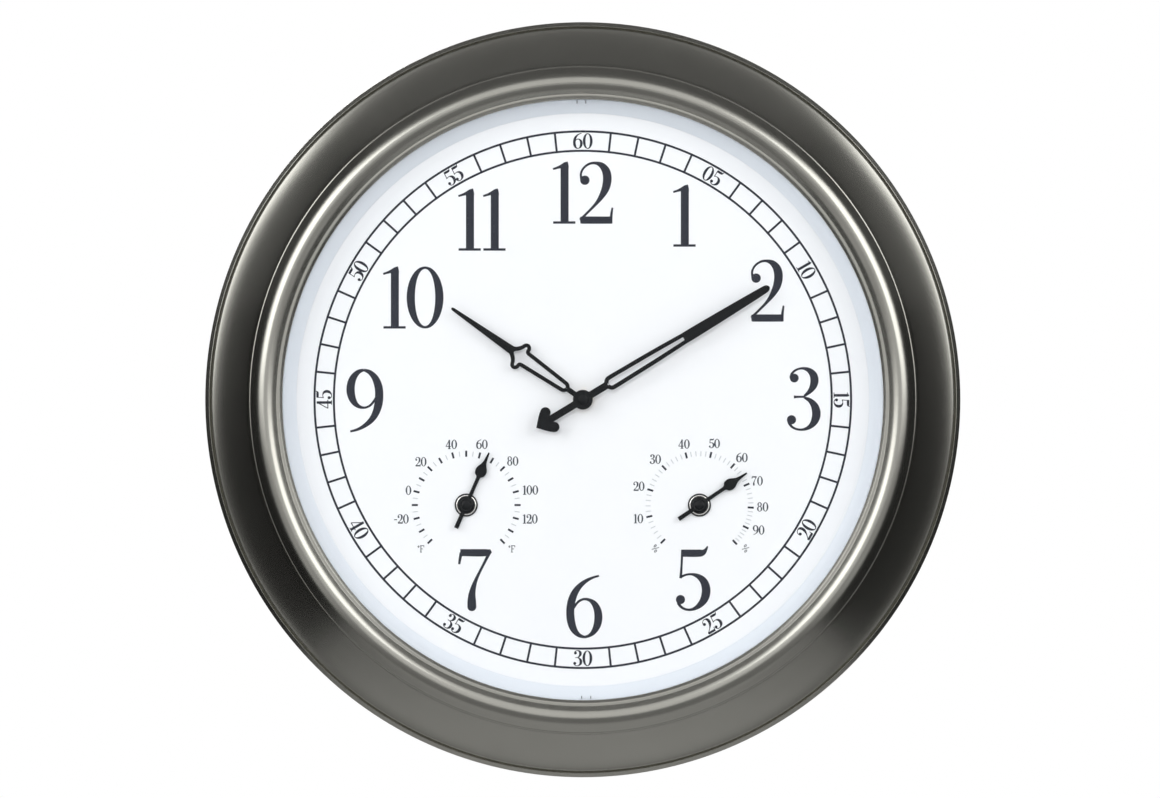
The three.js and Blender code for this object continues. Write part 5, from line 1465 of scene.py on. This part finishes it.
class CLOCK_OT_stage(bpy.types.Operator):
    """Pale floor, soft lamps, the white surroundings and the camera"""

    bl_idname = "clock.stage"
    bl_label = "Stage"

    def execute(self, context):
        sizes = context.scene.clock_sizes
        self.make_floor()
        self.make_cards()
        self.make_world(context.scene, sizes)
        self.make_camera(context.scene, sizes)
        for name, place, size, radiance, mirrored in LAMPS:
            self.make_lamp(name, place, size, radiance * sizes.lamp_level, mirrored)
        context.scene.view_settings.view_transform = "Standard"
        return {"FINISHED"}

    def make_floor(self):
        """Round floor far below the clock, a thin disc."""
        section = ring_section(0, FLOOR_RADIUS, -FLOOR_DROP, FLOOR_THICKNESS - FLOOR_DROP)
        points, faces = turned(section, 96)
        x, y, z = points.T
        self.stand("floor", (np.stack([x, z, -y], -1), faces), "#d6d6d6", lit=0.5)

    def make_cards(self):
        """Dark cards beside the clock, a grey one above it and one over the floor, which the camera
        doesn't see: what the metal mirrors of them gives it its dark flanks."""
        for name, side in (("left", -1), ("right", 1)):
            sides = sorted((side * CARD_DISTANCE, side * (CARD_DISTANCE + CARD_THICKNESS)))
            self.stand(f"card_{name}", card(sides, CARD_FAR, CARD_LOWER_FRONTS), "#373737")
            self.stand(f"card_upper_{name}", card(sides, CARD_FAR, CARD_UPPER_FRONTS), "#6c6c6c")
        top, low = CARD_TOP_HEIGHT, CARD_FLOOR_LIFT - FLOOR_DROP
        edges = [(CARD_TOP_FRONT, top), (CARD_TOP_FRONT, top + CARD_THICKNESS)]
        self.stand("card_top", card((-CARD_DISTANCE, CARD_DISTANCE), CARD_FAR, edges), "#b0b0b0")
        edges = [(CARD_FLOOR_NEAR, low), (CARD_FLOOR_NEAR, low + CARD_THICKNESS)]
        self.stand("card_floor", card(CARD_FLOOR_SIDES, CARD_FLOOR_FAR, edges), "#999999",
                   mirrored_only=True)

    def stand(self, name, part, colour, lit=0.0, mirrored_only=False):
        """Matt piece of the stage. The camera sees it with a glow of a strength of lit added, or
        not at all where lit is 0. One that is only mirrored casts no shadow and lights nothing."""
        mesh = mesh_of(name, part)
        material, tree, output, _ = new_finish(f"matt_{name}")
        matt = add(tree, "BsdfDiffuse", {"Color": linear(colour)})
        seen = add(tree, "Math", {0: add(tree, "LightPath").outputs["Is Camera Ray"], 1: lit},
                   operation="MULTIPLY")
        glow = add(tree, "Emission", {"Strength": seen.outputs[0]})
        surface = add(tree, "AddShader", {0: matt.outputs[0], 1: glow.outputs[0]})
        tree.links.new(surface.outputs[0], output.inputs["Surface"])
        mesh.materials.append(material)
        made = linked(name, mesh)
        made.visible_camera = lit > 0
        made.visible_shadow = made.visible_diffuse = not mirrored_only

    def make_world(self, scene, sizes):
        """Even light from all sides. What the camera, metal and glass see of it is plain white."""
        world = bpy.data.worlds.new("studio")
        world.use_nodes = True
        tree = world.node_tree
        tree.nodes.clear()
        path = add(tree, "LightPath")
        seen = add(tree, "Math", {0: path.outputs["Is Camera Ray"],
                                  1: path.outputs["Is Glossy Ray"]}, operation="MAXIMUM")
        seen = add(tree, "Math", {0: seen.outputs[0],
                                  1: path.outputs["Is Transmission Ray"]}, operation="MAXIMUM")
        level = add(tree, "MapRange", {"Value": seen.outputs[0], "To Min": sizes.world_level,
                                       "To Max": 1.0})
        light = add(tree, "Background", {"Color": (1, 1, 1, 1), "Strength": level.outputs[0]})
        add(tree, "OutputWorld", {"Surface": light.outputs[0]})
        scene.world = world

    def make_camera(self, scene, sizes):
        """Camera straight in front of the clock, whose frame is as wide as the photograph's."""
        data = bpy.data.cameras.new("camera")
        distance = sizes.camera_distance * MM - CAMERA_DEPTH
        data.sensor_width = SENSOR
        data.lens = SENSOR * distance / (PHOTO_WIDTH * PHOTO_SCALE)
        data.clip_end = 100
        camera = linked("camera", data)
        right, up = (-pixels * PHOTO_SCALE / MM for pixels in PHOTO_MIDDLE)
        camera.location = (right, -sizes.camera_distance, up)
        camera.rotation_euler = (math.pi / 2, 0, 0)
        scene.camera = camera

    def make_lamp(self, name, place, size, radiance, mirrored):
        """Square soft lamp aimed at the clock, whose power is its radiance times pi times area."""
        data = bpy.data.lights.new(name, "AREA")
        data.shape, data.size = "SQUARE", size
        data.energy = radiance * math.pi * size ** 2
        lamp = linked(name, data)
        lamp.location = place
        lamp.rotation_euler = (-Vector(place)).to_track_quat("-Z", "Y").to_euler()
        lamp.visible_glossy = mirrored


# Settings, panel and registration

def length(name, description, value):
    """Length property in metres from a value in millimetres."""
    return bpy.props.FloatProperty(name=name, description=description, default=value / MM,
                                   min=0.0, unit="LENGTH", precision=5)


class ClockSizes(bpy.types.PropertyGroup):
    """Sizes that a user would change."""

    round_sides: bpy.props.IntProperty(
        name="Round sides", description="Sides of the bezel and of the other large rounds",
        default=256, min=24, max=720)
    ink_height: length("Ink height", "Thickness of the printed film", 0.06)
    line_width: length("Line width", "Width of the minute track's lines", 1.3)
    hairline: length("Hairline", "Least width of a stroke of the small numbers", 0.42)
    small_weight: bpy.props.FloatProperty(
        name="Small weight", description="Boldness of the small numbers", default=1.3, min=0.5)
    hour_numeral_height: length("Hour numerals", "Height of the hour numerals", 37.5)
    track_numeral_height: length("Minute numbers", "Height of the numbers of the track", 9.3)
    scale_numeral_height: length("Scale numbers", "Height of the numbers of the gauges", 5.5)
    hand_bevel: length("Hand bevel", "Bevel along the edges of the hands", 0.09)
    camera_distance: bpy.props.FloatProperty(
        name="Camera distance", description="Distance from the wall to the camera", default=8.0,
        min=1.0, unit="LENGTH")
    lamp_level: bpy.props.FloatProperty(
        name="Lamps", description="Level of all the lamps", default=1.0, min=0.0)
    world_level: bpy.props.FloatProperty(
        name="Surroundings", description="Light from all sides", default=0.40, min=0.0)


OPERATORS = [
    CLOCK_OT_bezel, CLOCK_OT_lens, CLOCK_OT_dial_ring, CLOCK_OT_minute_track,
    CLOCK_OT_hour_numerals, CLOCK_OT_scales, CLOCK_OT_hands, CLOCK_OT_pointers,
    CLOCK_OT_rear_cover, CLOCK_OT_screws, CLOCK_OT_movement, CLOCK_OT_stage,
]


class CLOCK_PT_panel(bpy.types.Panel):
    """Lists the sizes and the operators that build the clock"""

    bl_label = "Outdoor Wall Clock"
    bl_idname = "CLOCK_PT_panel"
    bl_space_type = "VIEW_3D"
    bl_region_type = "UI"
    bl_category = "Clock"

    def draw(self, context):
        sizes = context.scene.clock_sizes
        for name in ClockSizes.__annotations__:
            self.layout.prop(sizes, name)
        for operator in OPERATORS:
            self.layout.operator(operator.bl_idname)


CLASSES = [ClockSizes, *OPERATORS, CLOCK_PT_panel]


def register():
    for each in CLASSES:
        bpy.utils.register_class(each)
    bpy.types.Scene.clock_sizes = bpy.props.PointerProperty(type=ClockSizes)


def unregister():
    del bpy.types.Scene.clock_sizes
    for each in reversed(CLASSES):
        bpy.utils.unregister_class(each)


def main():
    """Builds every piece."""
    register()
    for operator in OPERATORS:
        group, name = operator.bl_idname.split(".")
        getattr(getattr(bpy.ops, group), name)()


if __name__ == "__main__":
    main()
